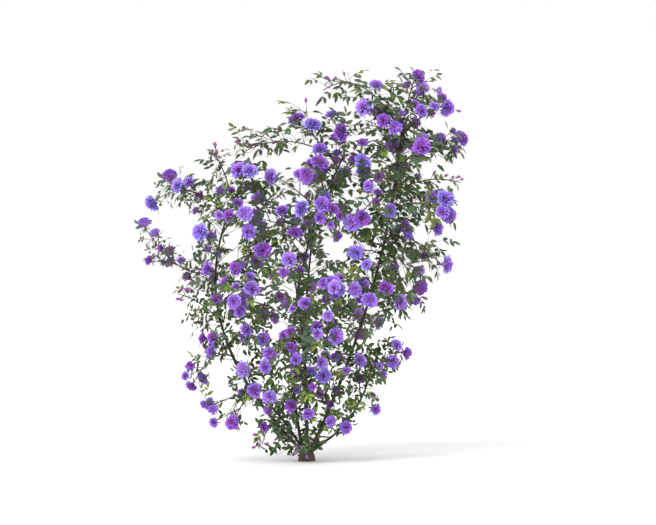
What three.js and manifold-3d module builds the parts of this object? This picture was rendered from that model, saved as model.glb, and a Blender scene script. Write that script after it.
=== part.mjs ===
// A climbing rose rooted in the ground, in separate solids: a short rootstock, the canes that spring
// from it, and the flowering shoots that the canes carry.
// A shoot is one fused solid of stem, twigs, leaves and blooms.
// Millimetres, +Z up. The origin is the middle of the rootstock's flat cut at ground level.
// The plant's face looks along -Y, with +X to its right as seen from there.

import * as THREE from 'three';
import { mergeVertices } from 'three/addons/utils/BufferGeometryUtils.js';
import Module from 'manifold-3d';

const wasm = await Module();
wasm.setup();

// Gaps
const CLEARANCE = 0.3; // between a stalk and what carries it
const ROOM = 2; // between one shoot's foliage and its neighbours or a cane
const BALL_SPACING = 10; // between the balls that wrap a stalk
const CROWDING = 0.75; // share of their reach that growths of one shoot keep from its blooms and leaves

// Crown, for the way that leaves and blooms turn to the light
const CROWN_MIDDLE = new THREE.Vector3(40, 0, 820);
const CROWN_HALF = new THREE.Vector3(720, 300, 900);

// Rootstock, from the flat cut at ground level up to the fork
const ROOTSTOCK = { foot: 40, waist: 31, shoulder: 34, waistHeight: 36, shoulderHeight: 62, height: 80 };
const ROOTSTOCK_SIDES = 12;
const ROOTSTOCK_LOBES = 3;
const ROOTSTOCK_LOBE_DEPTH = 0.09;
const CANE_RING = 21; // radius of the ring of cane feet inside the rootstock
const CANE_FOOT_HEIGHT = 48;

// Canes: where the foot stands on the ring in degrees, the tip,
// and how far the middle bows off the straight line between them
const CANE_SIDES = 6;
const CANE_STEPS = 8;
const CANES = [
  { name: 'right', turn: 10, tip: [425, 30, 1480], bow: [70, -10, 0], radii: [7.6, 3.8] },
  { name: 'centre', turn: 128, tip: [165, 20, 1340], bow: [-120, 30, 0], radii: [7.2, 3.8] },
  { name: 'left', turn: 180, tip: [-300, 10, 1180], bow: [-215, 0, 0], radii: [7.2, 3.8] },
  { name: 'low_left', turn: 228, tip: [-290, -40, 290], bow: [0, -20, 70], radii: [5.8, 3.4] },
  { name: 'low_right', turn: 322, tip: [290, -30, 420], bow: [40, -20, -40], radii: [5.8, 3.4] },
  { name: 'front', turn: 275, tip: [-40, -220, 760], bow: [20, -95, 0], radii: [6.6, 3.6] },
  { name: 'back', turn: 65, tip: [40, 230, 1080], bow: [-30, 85, 0], radii: [7, 3.8] },
];

// Shoots: the cane that carries each, the share of the cane's length where it springs, the tip,
// and how far its middle arches above the straight line. A bare shoot ends in a twig with few leaves,
// and a leafy one in a spray with no bloom.
const SHOOTS = [
  { name: 'top_shoot', cane: 'right', at: 1, tip: [478, 0, 1682], arch: 10 },
  { name: 'top_right_shoot', cane: 'right', at: 0.96, tip: [600, -50, 1555], arch: 25 },
  { name: 'top_arching_shoot', cane: 'right', at: 0.98, tip: [75, 0, 1630], arch: 105, bare: true },
  { name: 'top_front_shoot', cane: 'right', at: 0.9, tip: [265, -90, 1530], arch: 40 },
  { name: 'upper_right_shoot', cane: 'right', at: 0.87, tip: [660, -20, 1405], arch: 35 },
  { name: 'upper_right_front_shoot', cane: 'right', at: 0.84, tip: [500, -170, 1365], arch: 20 },
  { name: 'right_bud_shoot', cane: 'right', at: 0.79, tip: [680, 30, 1225], arch: 35, bare: true },
  { name: 'right_front_shoot', cane: 'right', at: 0.8, tip: [235, -205, 1075], arch: 25 },
  { name: 'right_shoot', cane: 'right', at: 0.73, tip: [605, -90, 1085], arch: 45 },
  { name: 'right_inner_shoot', cane: 'right', at: 0.6, tip: [215, -160, 905], arch: 20 },
  { name: 'right_hanging_shoot', cane: 'right', at: 0.65, tip: [590, -30, 865], arch: 50 },
  { name: 'right_under_shoot', cane: 'right', at: 0.5, tip: [395, -60, 695], arch: 35 },
  { name: 'right_low_front_shoot', cane: 'right', at: 0.42, tip: [215, -190, 755], arch: 30 },
  { name: 'back_upper_right_shoot', cane: 'right', at: 0.82, tip: [410, 250, 1380], arch: 20 },
  { name: 'back_right_shoot', cane: 'right', at: 0.62, tip: [500, 200, 770], arch: 30 },
  { name: 'centre_top_shoot', cane: 'centre', at: 1, tip: [180, -70, 1440], arch: 10 },
  { name: 'upper_left_bloom_shoot', cane: 'centre', at: 0.96, tip: [-30, -30, 1480], arch: 20 },
  { name: 'upper_left_arm', cane: 'centre', at: 0.98, tip: [-265, 10, 1365], arch: 65, leafy: true },
  { name: 'centre_right_shoot', cane: 'centre', at: 0.9, tip: [235, -120, 1300], arch: 15 },
  { name: 'centre_front_shoot', cane: 'centre', at: 0.86, tip: [50, -190, 1285], arch: 20 },
  { name: 'centre_left_shoot', cane: 'centre', at: 0.81, tip: [-130, -70, 1245], arch: 15 },
  { name: 'centre_mid_front_shoot', cane: 'centre', at: 0.76, tip: [60, -240, 1115], arch: 25 },
  { name: 'centre_low_left_shoot', cane: 'centre', at: 0.64, tip: [-130, -150, 1070], arch: 10 },
  { name: 'left_top_shoot', cane: 'left', at: 1, tip: [-255, -50, 1270], arch: 5 },
  { name: 'left_top_twig', cane: 'left', at: 0.96, tip: [-400, 10, 1345], arch: 25, bare: true },
  { name: 'left_upper_arm', cane: 'left', at: 0.91, tip: [-655, -20, 1150], arch: 70 },
  { name: 'left_front_shoot', cane: 'left', at: 0.84, tip: [-260, -190, 1085], arch: 20 },
  { name: 'left_shoot', cane: 'left', at: 0.78, tip: [-450, -110, 1000], arch: 15 },
  { name: 'left_inner_shoot', cane: 'left', at: 0.68, tip: [-195, -130, 925], arch: 15 },
  { name: 'left_arm', cane: 'left', at: 0.7, tip: [-705, -10, 1025], arch: -80 },
  { name: 'left_heart_shoot', cane: 'left', at: 0.56, tip: [-240, -210, 755], arch: 25 },
  { name: 'left_bud_shoot', cane: 'left', at: 0.5, tip: [-560, -40, 735], arch: 20, bare: true },
  { name: 'left_low_front_shoot', cane: 'left', at: 0.4, tip: [-235, -180, 590], arch: 25 },
  { name: 'left_hanging_shoot', cane: 'left', at: 0.36, tip: [-490, -40, 350], arch: 55 },
  { name: 'low_left_shoot', cane: 'low_left', at: 1, tip: [-400, -50, 250], arch: 5 },
  { name: 'low_left_arm', cane: 'low_left', at: 0.84, tip: [-310, -120, 180], arch: 20 },
  { name: 'low_left_upper_shoot', cane: 'low_left', at: 0.78, tip: [-265, -120, 405], arch: 15 },
  { name: 'foot_left_shoot', cane: 'low_left', at: 0.4, tip: [-190, -110, 80], arch: 25, leafy: true },
  { name: 'low_right_shoot', cane: 'low_right', at: 1, tip: [365, -55, 440], arch: 5 },
  { name: 'low_right_upper_shoot', cane: 'low_right', at: 0.7, tip: [220, -140, 440], arch: 10 },
  { name: 'low_right_front_shoot', cane: 'low_right', at: 0.3, tip: [165, -150, 165], arch: 10 },
  { name: 'foot_shoot', cane: 'low_right', at: 0.22, tip: [-20, -140, 45], arch: 30, leafy: true },
  { name: 'front_top_shoot', cane: 'front', at: 1, tip: [-70, -300, 870], arch: 5 },
  { name: 'front_right_shoot', cane: 'front', at: 0.86, tip: [115, -265, 780], arch: 20 },
  { name: 'front_low_right_shoot', cane: 'front', at: 0.62, tip: [120, -270, 550], arch: 25 },
  { name: 'front_low_left_shoot', cane: 'front', at: 0.56, tip: [-150, -255, 490], arch: 30 },
  { name: 'front_low_shoot', cane: 'front', at: 0.36, tip: [75, -235, 400], arch: 20 },
  { name: 'front_foot_shoot', cane: 'front', at: 0.3, tip: [-150, -190, 300], arch: 20 },
  { name: 'back_top_shoot', cane: 'back', at: 1, tip: [50, 250, 1250], arch: 5 },
  { name: 'back_left_top_shoot', cane: 'back', at: 0.86, tip: [-220, 240, 1070], arch: 30 },
  { name: 'back_left_low_shoot', cane: 'back', at: 0.48, tip: [-280, 220, 700], arch: 40 },
  { name: 'back_low_right_shoot', cane: 'back', at: 0.5, tip: [230, 260, 630], arch: 30 },
];

// The one rule that every shoot grows by
const GOLDEN_ANGLE = Math.PI * (3 - Math.sqrt(5));
const STEM = { radii: [3.4, 2], sides: 3, steps: 3 };
const TWIG = { step: 115, first: 0.3, last: 0.92, length: 100, spread: 0.95, toLight: 0.3 };
const TWIG_SECTION = { radii: [2.3, 1.6], sides: 3, steps: 1 };
const TWIG_SIZES = [0.75, 1.25]; // least and most, as shares of the length
const LEAF = { step: 25, length: 120, width: 0.62, thickness: 0.026, fold: 0.1, arch: 0.07, spread: 1.1 };
const LEAF_SIZES = [0.8, 1.2];
const LEAF_FACING = { toLight: 0.8, upward: 0.45 };
const LEAF_BALL = 0.11; // radius of the balls that wrap a leaf, as a share of its length
const LEAF_BALLS = [[-0.55, 0], [-0.25, -0.4], [-0.25, 0.4], [0, -0.75], [0, 0], [0, 0.75],
  [0.3, -0.4], [0.3, 0.4], [0.6, 0], [0.88, 0]]; // their places along and across the blade
const TWIG_LEAVES = [0.36, 0.74]; // shares of a twig's length
const BARE_LEAVES = 0.45; // share of the leaves that a bare shoot keeps
const BLOOM = { diameter: 76, depth: 0.58, sides: 5, sunk: 5 };
const BLOOM_PROFILE = [[0, 0], [0.72, 0.3], [1, 0.66], [0, 1]]; // shares of the radius and of the depth
const BLOOM_SIZES = [0.6, 1.15];
const TIP_BLOOM_SIZES = [0.95, 1.15]; // of the bloom at the shoot's own tip
const BLOOM_FACING = { toLight: 0.9, alongTwig: 0.5, upward: 0.3 };

// First number of each row of draws
const DRAWS = { twigTurn: 0, leafTurn: 1, tipBloom: 2, twigReach: 10, twigBloom: 30, leafLength: 50 };

const UP = new THREE.Vector3(0, 0, 1);
const ACROSS = new THREE.Vector3(1, 0, 0);
const STEEP = 0.95; // a heading steeper than this counts as upright
const STRAIGHT = 1e-6; // a stalk that bows less than this has no plane of its own
const BARK = new THREE.MeshStandardMaterial({ color: 0x5b4a3c, roughness: 0.85, metalness: 0 });
const CANE_BARK = new THREE.MeshStandardMaterial({ color: 0x4b4a37, roughness: 0.7, metalness: 0 });
const FOLIAGE = new THREE.MeshStandardMaterial({ color: 0x5a6b40, roughness: 0.6, metalness: 0 });

// A repeatable number from 0 to 1 for a shoot and one of its draws.
function draw(seed, index) {
  const value = Math.sin(seed * 12.9898 + index * 78.233) * 43758.5453;
  return value - Math.floor(value);
}

function drawBetween(seed, index, [least, most]) {
  return least + (most - least) * draw(seed, index);
}

// A unit vector square to heading, turned by angle about it from the level one.
function squareTo(heading, angle) {
  const reference = Math.abs(heading.z) > STEEP ? ACROSS : UP;
  return new THREE.Vector3().crossVectors(heading, reference).normalize().applyAxisAngle(heading, angle);
}

// The way to the open air at a point: square to the crown's outline, taken as an ellipsoid.
function toLight(point) {
  return point.clone().sub(CROWN_MIDDLE).divide(CROWN_HALF).divide(CROWN_HALF).normalize();
}

// A stalk's line: a parabola from start to tip, whose middle stands off the straight line by bow.
class Stalk extends THREE.QuadraticBezierCurve3 {
  constructor(start, tip, bow, steps) {
    super(start, start.clone().lerp(tip, 0.5).addScaledVector(bow, 2), tip);
    this.chord = tip.clone().sub(start);
    this.bow = bow;
    this.steps = steps;
    const plane = new THREE.Vector3().crossVectors(this.chord, bow);
    const bowed = plane.length() > STRAIGHT;
    this.plane = bowed ? plane.normalize() : squareTo(this.chord.clone().normalize(), 0);
  }

  heading(share) {
    return this.chord.clone().addScaledVector(this.bow, 4 * (1 - 2 * share)).normalize();
  }

  // A point on the middle line of the stalk's tube, which runs straight from ring to ring.
  middle(share) {
    const ring = Math.min(Math.floor(share * this.steps), this.steps - 1);
    const [from, to] = [this.getPoint(ring / this.steps), this.getPoint((ring + 1) / this.steps)];
    return from.lerp(to, share * this.steps - ring);
  }

  // Balls that wrap the stalk, close enough together that nothing thin slips between them.
  balls([thickest]) {
    const count = Math.ceil(this.chord.length() / BALL_SPACING);
    const radius = Math.hypot(thickest, BALL_SPACING / 2);
    return Array.from({ length: count + 1 }, (_, i) => ({ centre: this.middle(i / count), radius }));
  }
}

// A closed, tapering tube: a cylinder's rings carried along a stalk. grown widens and lengthens it.
function tube(stalk, { radii: [foot, tip], sides }, grown = 0) {
  const geometry = new THREE.CylinderGeometry(tip + grown, foot + grown, 1, sides, stalk.steps);
  const position = geometry.getAttribute('position');
  const longer = grown / stalk.chord.length();
  const vertex = new THREE.Vector3();
  for (let i = 0; i < position.count; i++) {
    vertex.fromBufferAttribute(position, i);
    const share = (vertex.y + 0.5) * (1 + 2 * longer) - longer;
    const side = new THREE.Vector3().crossVectors(stalk.plane, stalk.heading(share));
    const placed = stalk.getPoint(share).addScaledVector(side, vertex.z);
    placed.addScaledVector(stalk.plane, vertex.x);
    position.setXYZ(i, placed.x, placed.y, placed.z);
  }
  return solidOf(geometry);
}

// A point on the middle of a blade that runs along +X from its root, folded up along its middle and arched.
// along goes from -1 at the root to 1 at the tip, and across from -1 to 1 between the edges.
function bladePoint(along, across, length) {
  const rise = LEAF.fold * Math.abs(across) + LEAF.arch * (1 - along * along);
  return new THREE.Vector3((length * (along + 1)) / 2, (length * LEAF.width * across) / 2, length * rise);
}

// A leaf: an octahedron drawn out to a blade.
function leafGeometry(length) {
  const geometry = new THREE.OctahedronGeometry(1);
  const position = geometry.getAttribute('position');
  for (let i = 0; i < position.count; i++) {
    const point = bladePoint(position.getX(i), position.getY(i), length);
    position.setXYZ(i, point.x, point.y, point.z + (position.getZ(i) * length * LEAF.thickness) / 2);
  }
  return geometry;
}

// A bloom along +Z from its foot: a cup that opens to a domed rosette.
function bloomGeometry(diameter) {
  const depth = diameter * BLOOM.depth;
  const profile = BLOOM_PROFILE.map(([out, up]) => new THREE.Vector2((out * diameter) / 2, up * depth));
  return new THREE.LatheGeometry(profile, BLOOM.sides).rotateX(Math.PI / 2);
}

// A closed geometry as a solid for joining and cutting.
function solidOf(geometry) {
  geometry.deleteAttribute('normal');
  geometry.deleteAttribute('uv');
  const merged = mergeVertices(geometry);
  const vertProperties = new Float32Array(merged.getAttribute('position').array);
  const triVerts = new Uint32Array(merged.index.array);
  return new wasm.Manifold(new wasm.Mesh({ numProp: 3, vertProperties, triVerts }));
}

// The largest body of a solid as a mesh: loose scraps are dropped and sealed hollows filled.
function meshOf(name, solid, material) {
  const body = solid.decompose().reduce((a, b) => (b.volume() > a.volume() ? b : a));
  const { vertProperties, triVerts } = body.getMesh();
  const geometry = new THREE.BufferGeometry();
  geometry.setAttribute('position', new THREE.BufferAttribute(vertProperties, 3));
  geometry.setIndex(new THREE.BufferAttribute(triVerts, 1));
  geometry.computeVertexNormals();
  const mesh = new THREE.Mesh(geometry, material);
  mesh.name = name;
  return mesh;
}

// Balls that wrap what has been placed, so that each shoot keeps to its own space
const taken = [];

// Whether balls are above the ground, clear of the canes and of other shoots,
// and uncrowded within their own shoot.
function isClear(balls, owner) {
  return balls.every(({ centre, radius }) => centre.z > radius && taken.every((other) => {
    const reach = radius + other.radius;
    const least = other.owner === owner ? other.crowding * reach : reach + ROOM;
    return centre.distanceTo(other.centre) >= least;
  }));
}

// A shoot's growths may touch its own wood, but crowd its blooms and leaves only so far.
function takeWood(balls, owner) {
  taken.push(...balls.map((ball) => ({ ...ball, owner, crowding: 0 })));
}

function takeGrowth(balls, owner) {
  taken.push(...balls.map((ball) => ({ ...ball, owner, crowding: CROWDING })));
}

// The rootstock: a lathe-turned stump with three shallow lobes, flared at its flat foot.
function makeRootstock(grown = 0) {
  const { foot, waist, shoulder, waistHeight, shoulderHeight, height } = ROOTSTOCK;
  const profile = [[0, 0], [foot, 0], [waist, waistHeight], [shoulder, shoulderHeight], [0, height]]
    .map(([radius, rise]) => new THREE.Vector2(radius && radius + grown, rise && rise + grown));
  const geometry = new THREE.LatheGeometry(profile, ROOTSTOCK_SIDES).rotateX(Math.PI / 2);
  const position = geometry.getAttribute('position');
  for (let i = 0; i < position.count; i++) {
    const turn = Math.atan2(position.getY(i), position.getX(i));
    const swell = 1 + ROOTSTOCK_LOBE_DEPTH * Math.cos(ROOTSTOCK_LOBES * turn);
    position.setXYZ(i, position.getX(i) * swell, position.getY(i) * swell, position.getZ(i));
  }
  return solidOf(geometry);
}

// A cane's line: its foot stands in the rootstock on a ring.
function caneStalk({ turn, tip, bow }) {
  const foot = new THREE.Vector3(CANE_RING, 0, CANE_FOOT_HEIGHT);
  foot.applyAxisAngle(UP, THREE.MathUtils.degToRad(turn));
  return new Stalk(foot, new THREE.Vector3(...tip), new THREE.Vector3(...bow), CANE_STEPS);
}

// A twig off a shoot's stem, with the bloom at its end.
function growTwig(stem, seed, index, count) {
  const share = TWIG.first + ((TWIG.last - TWIG.first) * (index + 0.5)) / count;
  const root = stem.middle(share);
  const heading = stem.heading(share);
  const turn = GOLDEN_ANGLE * index + 2 * Math.PI * draw(seed, DRAWS.twigTurn);
  const direction = heading.clone().multiplyScalar(Math.cos(TWIG.spread))
    .addScaledVector(squareTo(heading, turn), Math.sin(TWIG.spread))
    .addScaledVector(toLight(root), TWIG.toLight).normalize();
  const reach = TWIG.length * drawBetween(seed, DRAWS.twigReach + index, TWIG_SIZES);
  const tip = root.clone().addScaledVector(direction, reach);
  const stalk = new Stalk(root, tip, new THREE.Vector3(), TWIG_SECTION.steps);
  return { stalk, bloom: growBloom(stalk, drawBetween(seed, DRAWS.twigBloom + index, BLOOM_SIZES)) };
}

// A bloom at a stalk's tip, turned to the light.
function growBloom(stalk, size) {
  const diameter = BLOOM.diameter * size;
  const foot = stalk.getPoint(1);
  const facing = toLight(foot).multiplyScalar(BLOOM_FACING.toLight)
    .addScaledVector(stalk.heading(1), BLOOM_FACING.alongTwig)
    .addScaledVector(UP, BLOOM_FACING.upward).normalize();
  const middle = foot.clone().addScaledVector(facing, (diameter * BLOOM.depth) / 2 - BLOOM.sunk);
  return { foot, facing, diameter, balls: [{ centre: middle, radius: diameter / 2 }] };
}

function bloomSolid({ foot, facing, diameter }) {
  const turned = new THREE.Quaternion().setFromUnitVectors(UP, facing);
  const seat = foot.clone().addScaledVector(facing, -BLOOM.sunk);
  const placement = new THREE.Matrix4().compose(seat, turned, new THREE.Vector3(1, 1, 1));
  return solidOf(bloomGeometry(diameter).applyMatrix4(placement));
}

// A leaf on a stalk: it leaves the stalk sideways and holds its face to the light.
function growLeaf(stalk, share, seed, index) {
  const length = LEAF.length * drawBetween(seed, DRAWS.leafLength + index, LEAF_SIZES);
  const turn = GOLDEN_ANGLE * index + 2 * Math.PI * draw(seed, DRAWS.leafTurn);
  const root = stalk.middle(share);
  const heading = stalk.heading(share);
  const direction = heading.clone().multiplyScalar(Math.cos(LEAF.spread))
    .addScaledVector(squareTo(heading, turn), Math.sin(LEAF.spread)).normalize();
  const light = toLight(root).multiplyScalar(LEAF_FACING.toLight).addScaledVector(UP, LEAF_FACING.upward);
  const side = new THREE.Vector3().crossVectors(light, direction).normalize();
  const face = new THREE.Vector3().crossVectors(direction, side);
  const placement = new THREE.Matrix4().makeBasis(direction, side, face).setPosition(root);
  const balls = LEAF_BALLS.map(([along, across]) => (
    { centre: bladePoint(along, across, length).applyMatrix4(placement), radius: LEAF_BALL * length }));
  return { placement, length, balls };
}

function leafSolid({ placement, length }) {
  return solidOf(leafGeometry(length).applyMatrix4(placement));
}

// Every leaf that a shoot could hold: along its stem, and two on each twig.
function shootLeaves({ stem, seed, twigs, bare }) {
  const count = Math.floor((stem.chord.length() / LEAF.step) * (bare ? BARE_LEAVES : 1));
  const places = Array.from({ length: count }, (_, i) => [stem, (i + 1) / (count + 1)]);
  places.push(...twigs.flatMap(({ stalk }) => TWIG_LEAVES.map((share) => [stalk, share])));
  return places.map(([stalk, share], i) => growLeaf(stalk, share, seed, i));
}

// Canes first, each cut clear of the rootstock
const rose = new THREE.Group();
rose.name = 'climbing_rose';
rose.add(meshOf('rootstock', makeRootstock(), BARK));
const aroundRootstock = makeRootstock(CLEARANCE);
const canes = {};
for (const cane of CANES) {
  const stalk = caneStalk(cane);
  const section = { ...cane, sides: CANE_SIDES };
  canes[cane.name] = { stalk, around: tube(stalk, section, CLEARANCE) };
  rose.add(meshOf(`cane_${cane.name}`, tube(stalk, section).subtract(aroundRootstock), CANE_BARK));
  takeWood(stalk.balls(cane.radii), `cane_${cane.name}`);
}

// Stems next, then twigs with their blooms, then leaves, so that each finds what is already there
const shoots = SHOOTS.map((shoot, i) => {
  const bow = UP.clone().multiplyScalar(shoot.arch);
  const root = canes[shoot.cane].stalk.middle(shoot.at);
  const stem = new Stalk(root, new THREE.Vector3(...shoot.tip), bow, STEM.steps);
  takeWood(stem.balls(STEM.radii), shoot.name);
  return { ...shoot, flowers: !shoot.bare && !shoot.leafy, stem, seed: i + 1, twigs: [], blooms: [] };
});
for (const shoot of shoots) {
  const bloom = growBloom(shoot.stem, drawBetween(shoot.seed, DRAWS.tipBloom, TIP_BLOOM_SIZES));
  if (!shoot.flowers || !isClear(bloom.balls, shoot.name)) continue;
  takeGrowth(bloom.balls, shoot.name);
  shoot.blooms.push(bloom);
}
for (const shoot of shoots) {
  const count = shoot.flowers ? Math.max(1, Math.round(shoot.stem.chord.length() / TWIG.step)) : 0;
  for (let i = 0; i < count; i++) {
    const twig = growTwig(shoot.stem, shoot.seed, i, count);
    const wood = twig.stalk.balls(TWIG_SECTION.radii);
    if (!isClear([...wood, ...twig.bloom.balls], shoot.name)) continue;
    takeWood(wood, shoot.name);
    takeGrowth(twig.bloom.balls, shoot.name);
    shoot.twigs.push(twig);
    shoot.blooms.push(twig.bloom);
  }
}
for (const shoot of shoots) {
  const leaves = [];
  for (const leaf of shootLeaves(shoot)) {
    if (!isClear(leaf.balls, shoot.name)) continue;
    takeGrowth(leaf.balls, shoot.name);
    leaves.push(leaf);
  }
  const pieces = [
    tube(shoot.stem, STEM),
    ...shoot.twigs.map(({ stalk }) => tube(stalk, TWIG_SECTION)),
    ...shoot.blooms.map(bloomSolid),
    ...leaves.map(leafSolid),
  ];
  const fused = pieces.reduce((whole, piece) => whole.add(piece));
  rose.add(meshOf(shoot.name, fused.subtract(canes[shoot.cane].around), FOLIAGE));
}

export default rose;
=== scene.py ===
"""A climbing rose in full flower: bark, canes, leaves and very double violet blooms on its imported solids.

Metres, +Z up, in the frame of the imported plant, whose face looks along -Y. The shoots grow by the rule of
their solids, and are carried on to finer sprigs, leaflets, petals, sepals and buds within the same reach.
"""

import functools
import math
import typing

import bpy
import numpy as np
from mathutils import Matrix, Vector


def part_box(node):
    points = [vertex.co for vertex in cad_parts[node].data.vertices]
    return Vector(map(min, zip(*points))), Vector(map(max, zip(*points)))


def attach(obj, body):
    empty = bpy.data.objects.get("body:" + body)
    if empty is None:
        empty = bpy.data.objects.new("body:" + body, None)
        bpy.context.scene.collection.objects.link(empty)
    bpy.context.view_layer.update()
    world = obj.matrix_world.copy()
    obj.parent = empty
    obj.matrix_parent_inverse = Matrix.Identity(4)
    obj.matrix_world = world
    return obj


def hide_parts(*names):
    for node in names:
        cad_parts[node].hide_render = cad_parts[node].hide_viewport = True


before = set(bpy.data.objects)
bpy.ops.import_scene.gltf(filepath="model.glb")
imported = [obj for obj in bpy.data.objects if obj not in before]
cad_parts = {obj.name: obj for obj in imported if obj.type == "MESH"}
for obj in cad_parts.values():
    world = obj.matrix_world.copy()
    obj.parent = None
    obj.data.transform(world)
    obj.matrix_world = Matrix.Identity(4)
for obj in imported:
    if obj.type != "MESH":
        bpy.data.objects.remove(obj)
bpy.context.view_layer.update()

bl_info = {
    "name": "Climbing rose",
    "version": (1, 0, 0),
    "blender": (4, 5, 0),
    "location": "View3D > Sidebar > Rose",
    "description": "Grows a climbing rose in full flower on its packed solids",
    "category": "Object",
}

# Gaps that the solids keep, so that the same growths find room here
ROOM = 0.002
BALL_SPACING = 0.010
CROWDING = 0.75

# Crown, for the way that leaves and blooms turn to the light
CROWN_MIDDLE = np.array((0.040, 0.0, 0.820))
CROWN_HALF = np.array((0.720, 0.300, 0.900))

# Rootstock: radius and height of each bend of its side, from the flat cut up to the fork
ROOTSTOCK_PROFILE = ((0.040, 0.0), (0.031, 0.036), (0.034, 0.062), (0.0, 0.080))
ROOTSTOCK_LOBES = 3
ROOTSTOCK_LOBE_DEPTH = 0.09
CANE_RING = 0.021
CANE_FOOT_HEIGHT = 0.048

# Bark of the rootstock: its grid, the rows that round off a bend to either side, the profile's overrun, the
# relief as shares of the radius and its waves by turn and height, the radius under which it fades, and the
# radius of the peak
BARK_ROWS = 60
BARK_SIDES = 108
BARK_ROUNDING_ROWS = 6
BARK_OVERRUN = 0.1
FURROW_DEPTH = 0.05
FURROWS = 7
FURROW_SWAY = 2.4
FURROW_SWAYS = 3
FURROW_TWIST = 30
KNOT_DEPTH = 0.05
KNOTS_AROUND = (5, 2)
KNOTS_UP = (90, 60)
BARK_FADE_RADIUS = 0.02
BARK_PEAK_RADIUS = 0.0006

# Canes: where the foot stands on the ring in degrees, the tip, the bow of the middle, the end radii
CANE_STEPS = 8
CANES = {
    "right": (10, (0.425, 0.030, 1.480), (0.070, -0.010, 0.0), (0.0076, 0.0038)),
    "centre": (128, (0.165, 0.020, 1.340), (-0.120, 0.030, 0.0), (0.0072, 0.0038)),
    "left": (180, (-0.300, 0.010, 1.180), (-0.215, 0.0, 0.0), (0.0072, 0.0038)),
    "low_left": (228, (-0.290, -0.040, 0.290), (0.0, -0.020, 0.070), (0.0058, 0.0034)),
    "low_right": (322, (0.290, -0.030, 0.420), (0.040, -0.020, -0.040), (0.0058, 0.0034)),
    "front": (275, (-0.040, -0.220, 0.760), (0.020, -0.095, 0.0), (0.0066, 0.0036)),
    "back": (65, (0.040, 0.230, 1.080), (-0.030, 0.085, 0.0), (0.0070, 0.0038)),
}

# Rind of the canes: its grid, the joints along it, and the relief as shares of the radius, with its waves by
# turn and length
RIND_STEP = 0.009
RIND_RINGS_PER_STEP = 2
RIND_SIDES = 14
JOINT_FIRST = 0.05
JOINT_GAP = 0.062
JOINT_SHIFT = 0.012
JOINT_SHIFT_WAVE = 70
JOINT_REACH = 0.007
JOINT_SWELLING = 0.16
RIDGES = 5
RIDGE_DEPTH = 0.05
RIDGE_TWIST = 9
RIND_DEPTH = 0.035
RIND_AROUND = (3, -2)
RIND_ALONG = (150, 230)

# Prickles: first and last share of a cane or stem and the gap between them, then their form, whose lengths
# go by the stalk's radius within limits
CANE_PRICKLES = (0.12, 0.98, 0.030)
STEM_PRICKLES = (0.15, 0.9, 0.055)
PRICKLE_RINGS = np.array((0.0, 0.35, 0.7, 1.0))
PRICKLE_SIDES = 5
PRICKLE_SUNK = 0.8
PRICKLE_LENGTH = 1.15
PRICKLE_LENGTH_LIMITS = (0.0035, 0.0085)
PRICKLE_SIZES = (0.7, 1.2)
PRICKLE_HOOK = 0.4
PRICKLE_RADIUS = 0.34
PRICKLE_FLARE = 0.8
PRICKLE_TIP = 0.02

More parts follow.
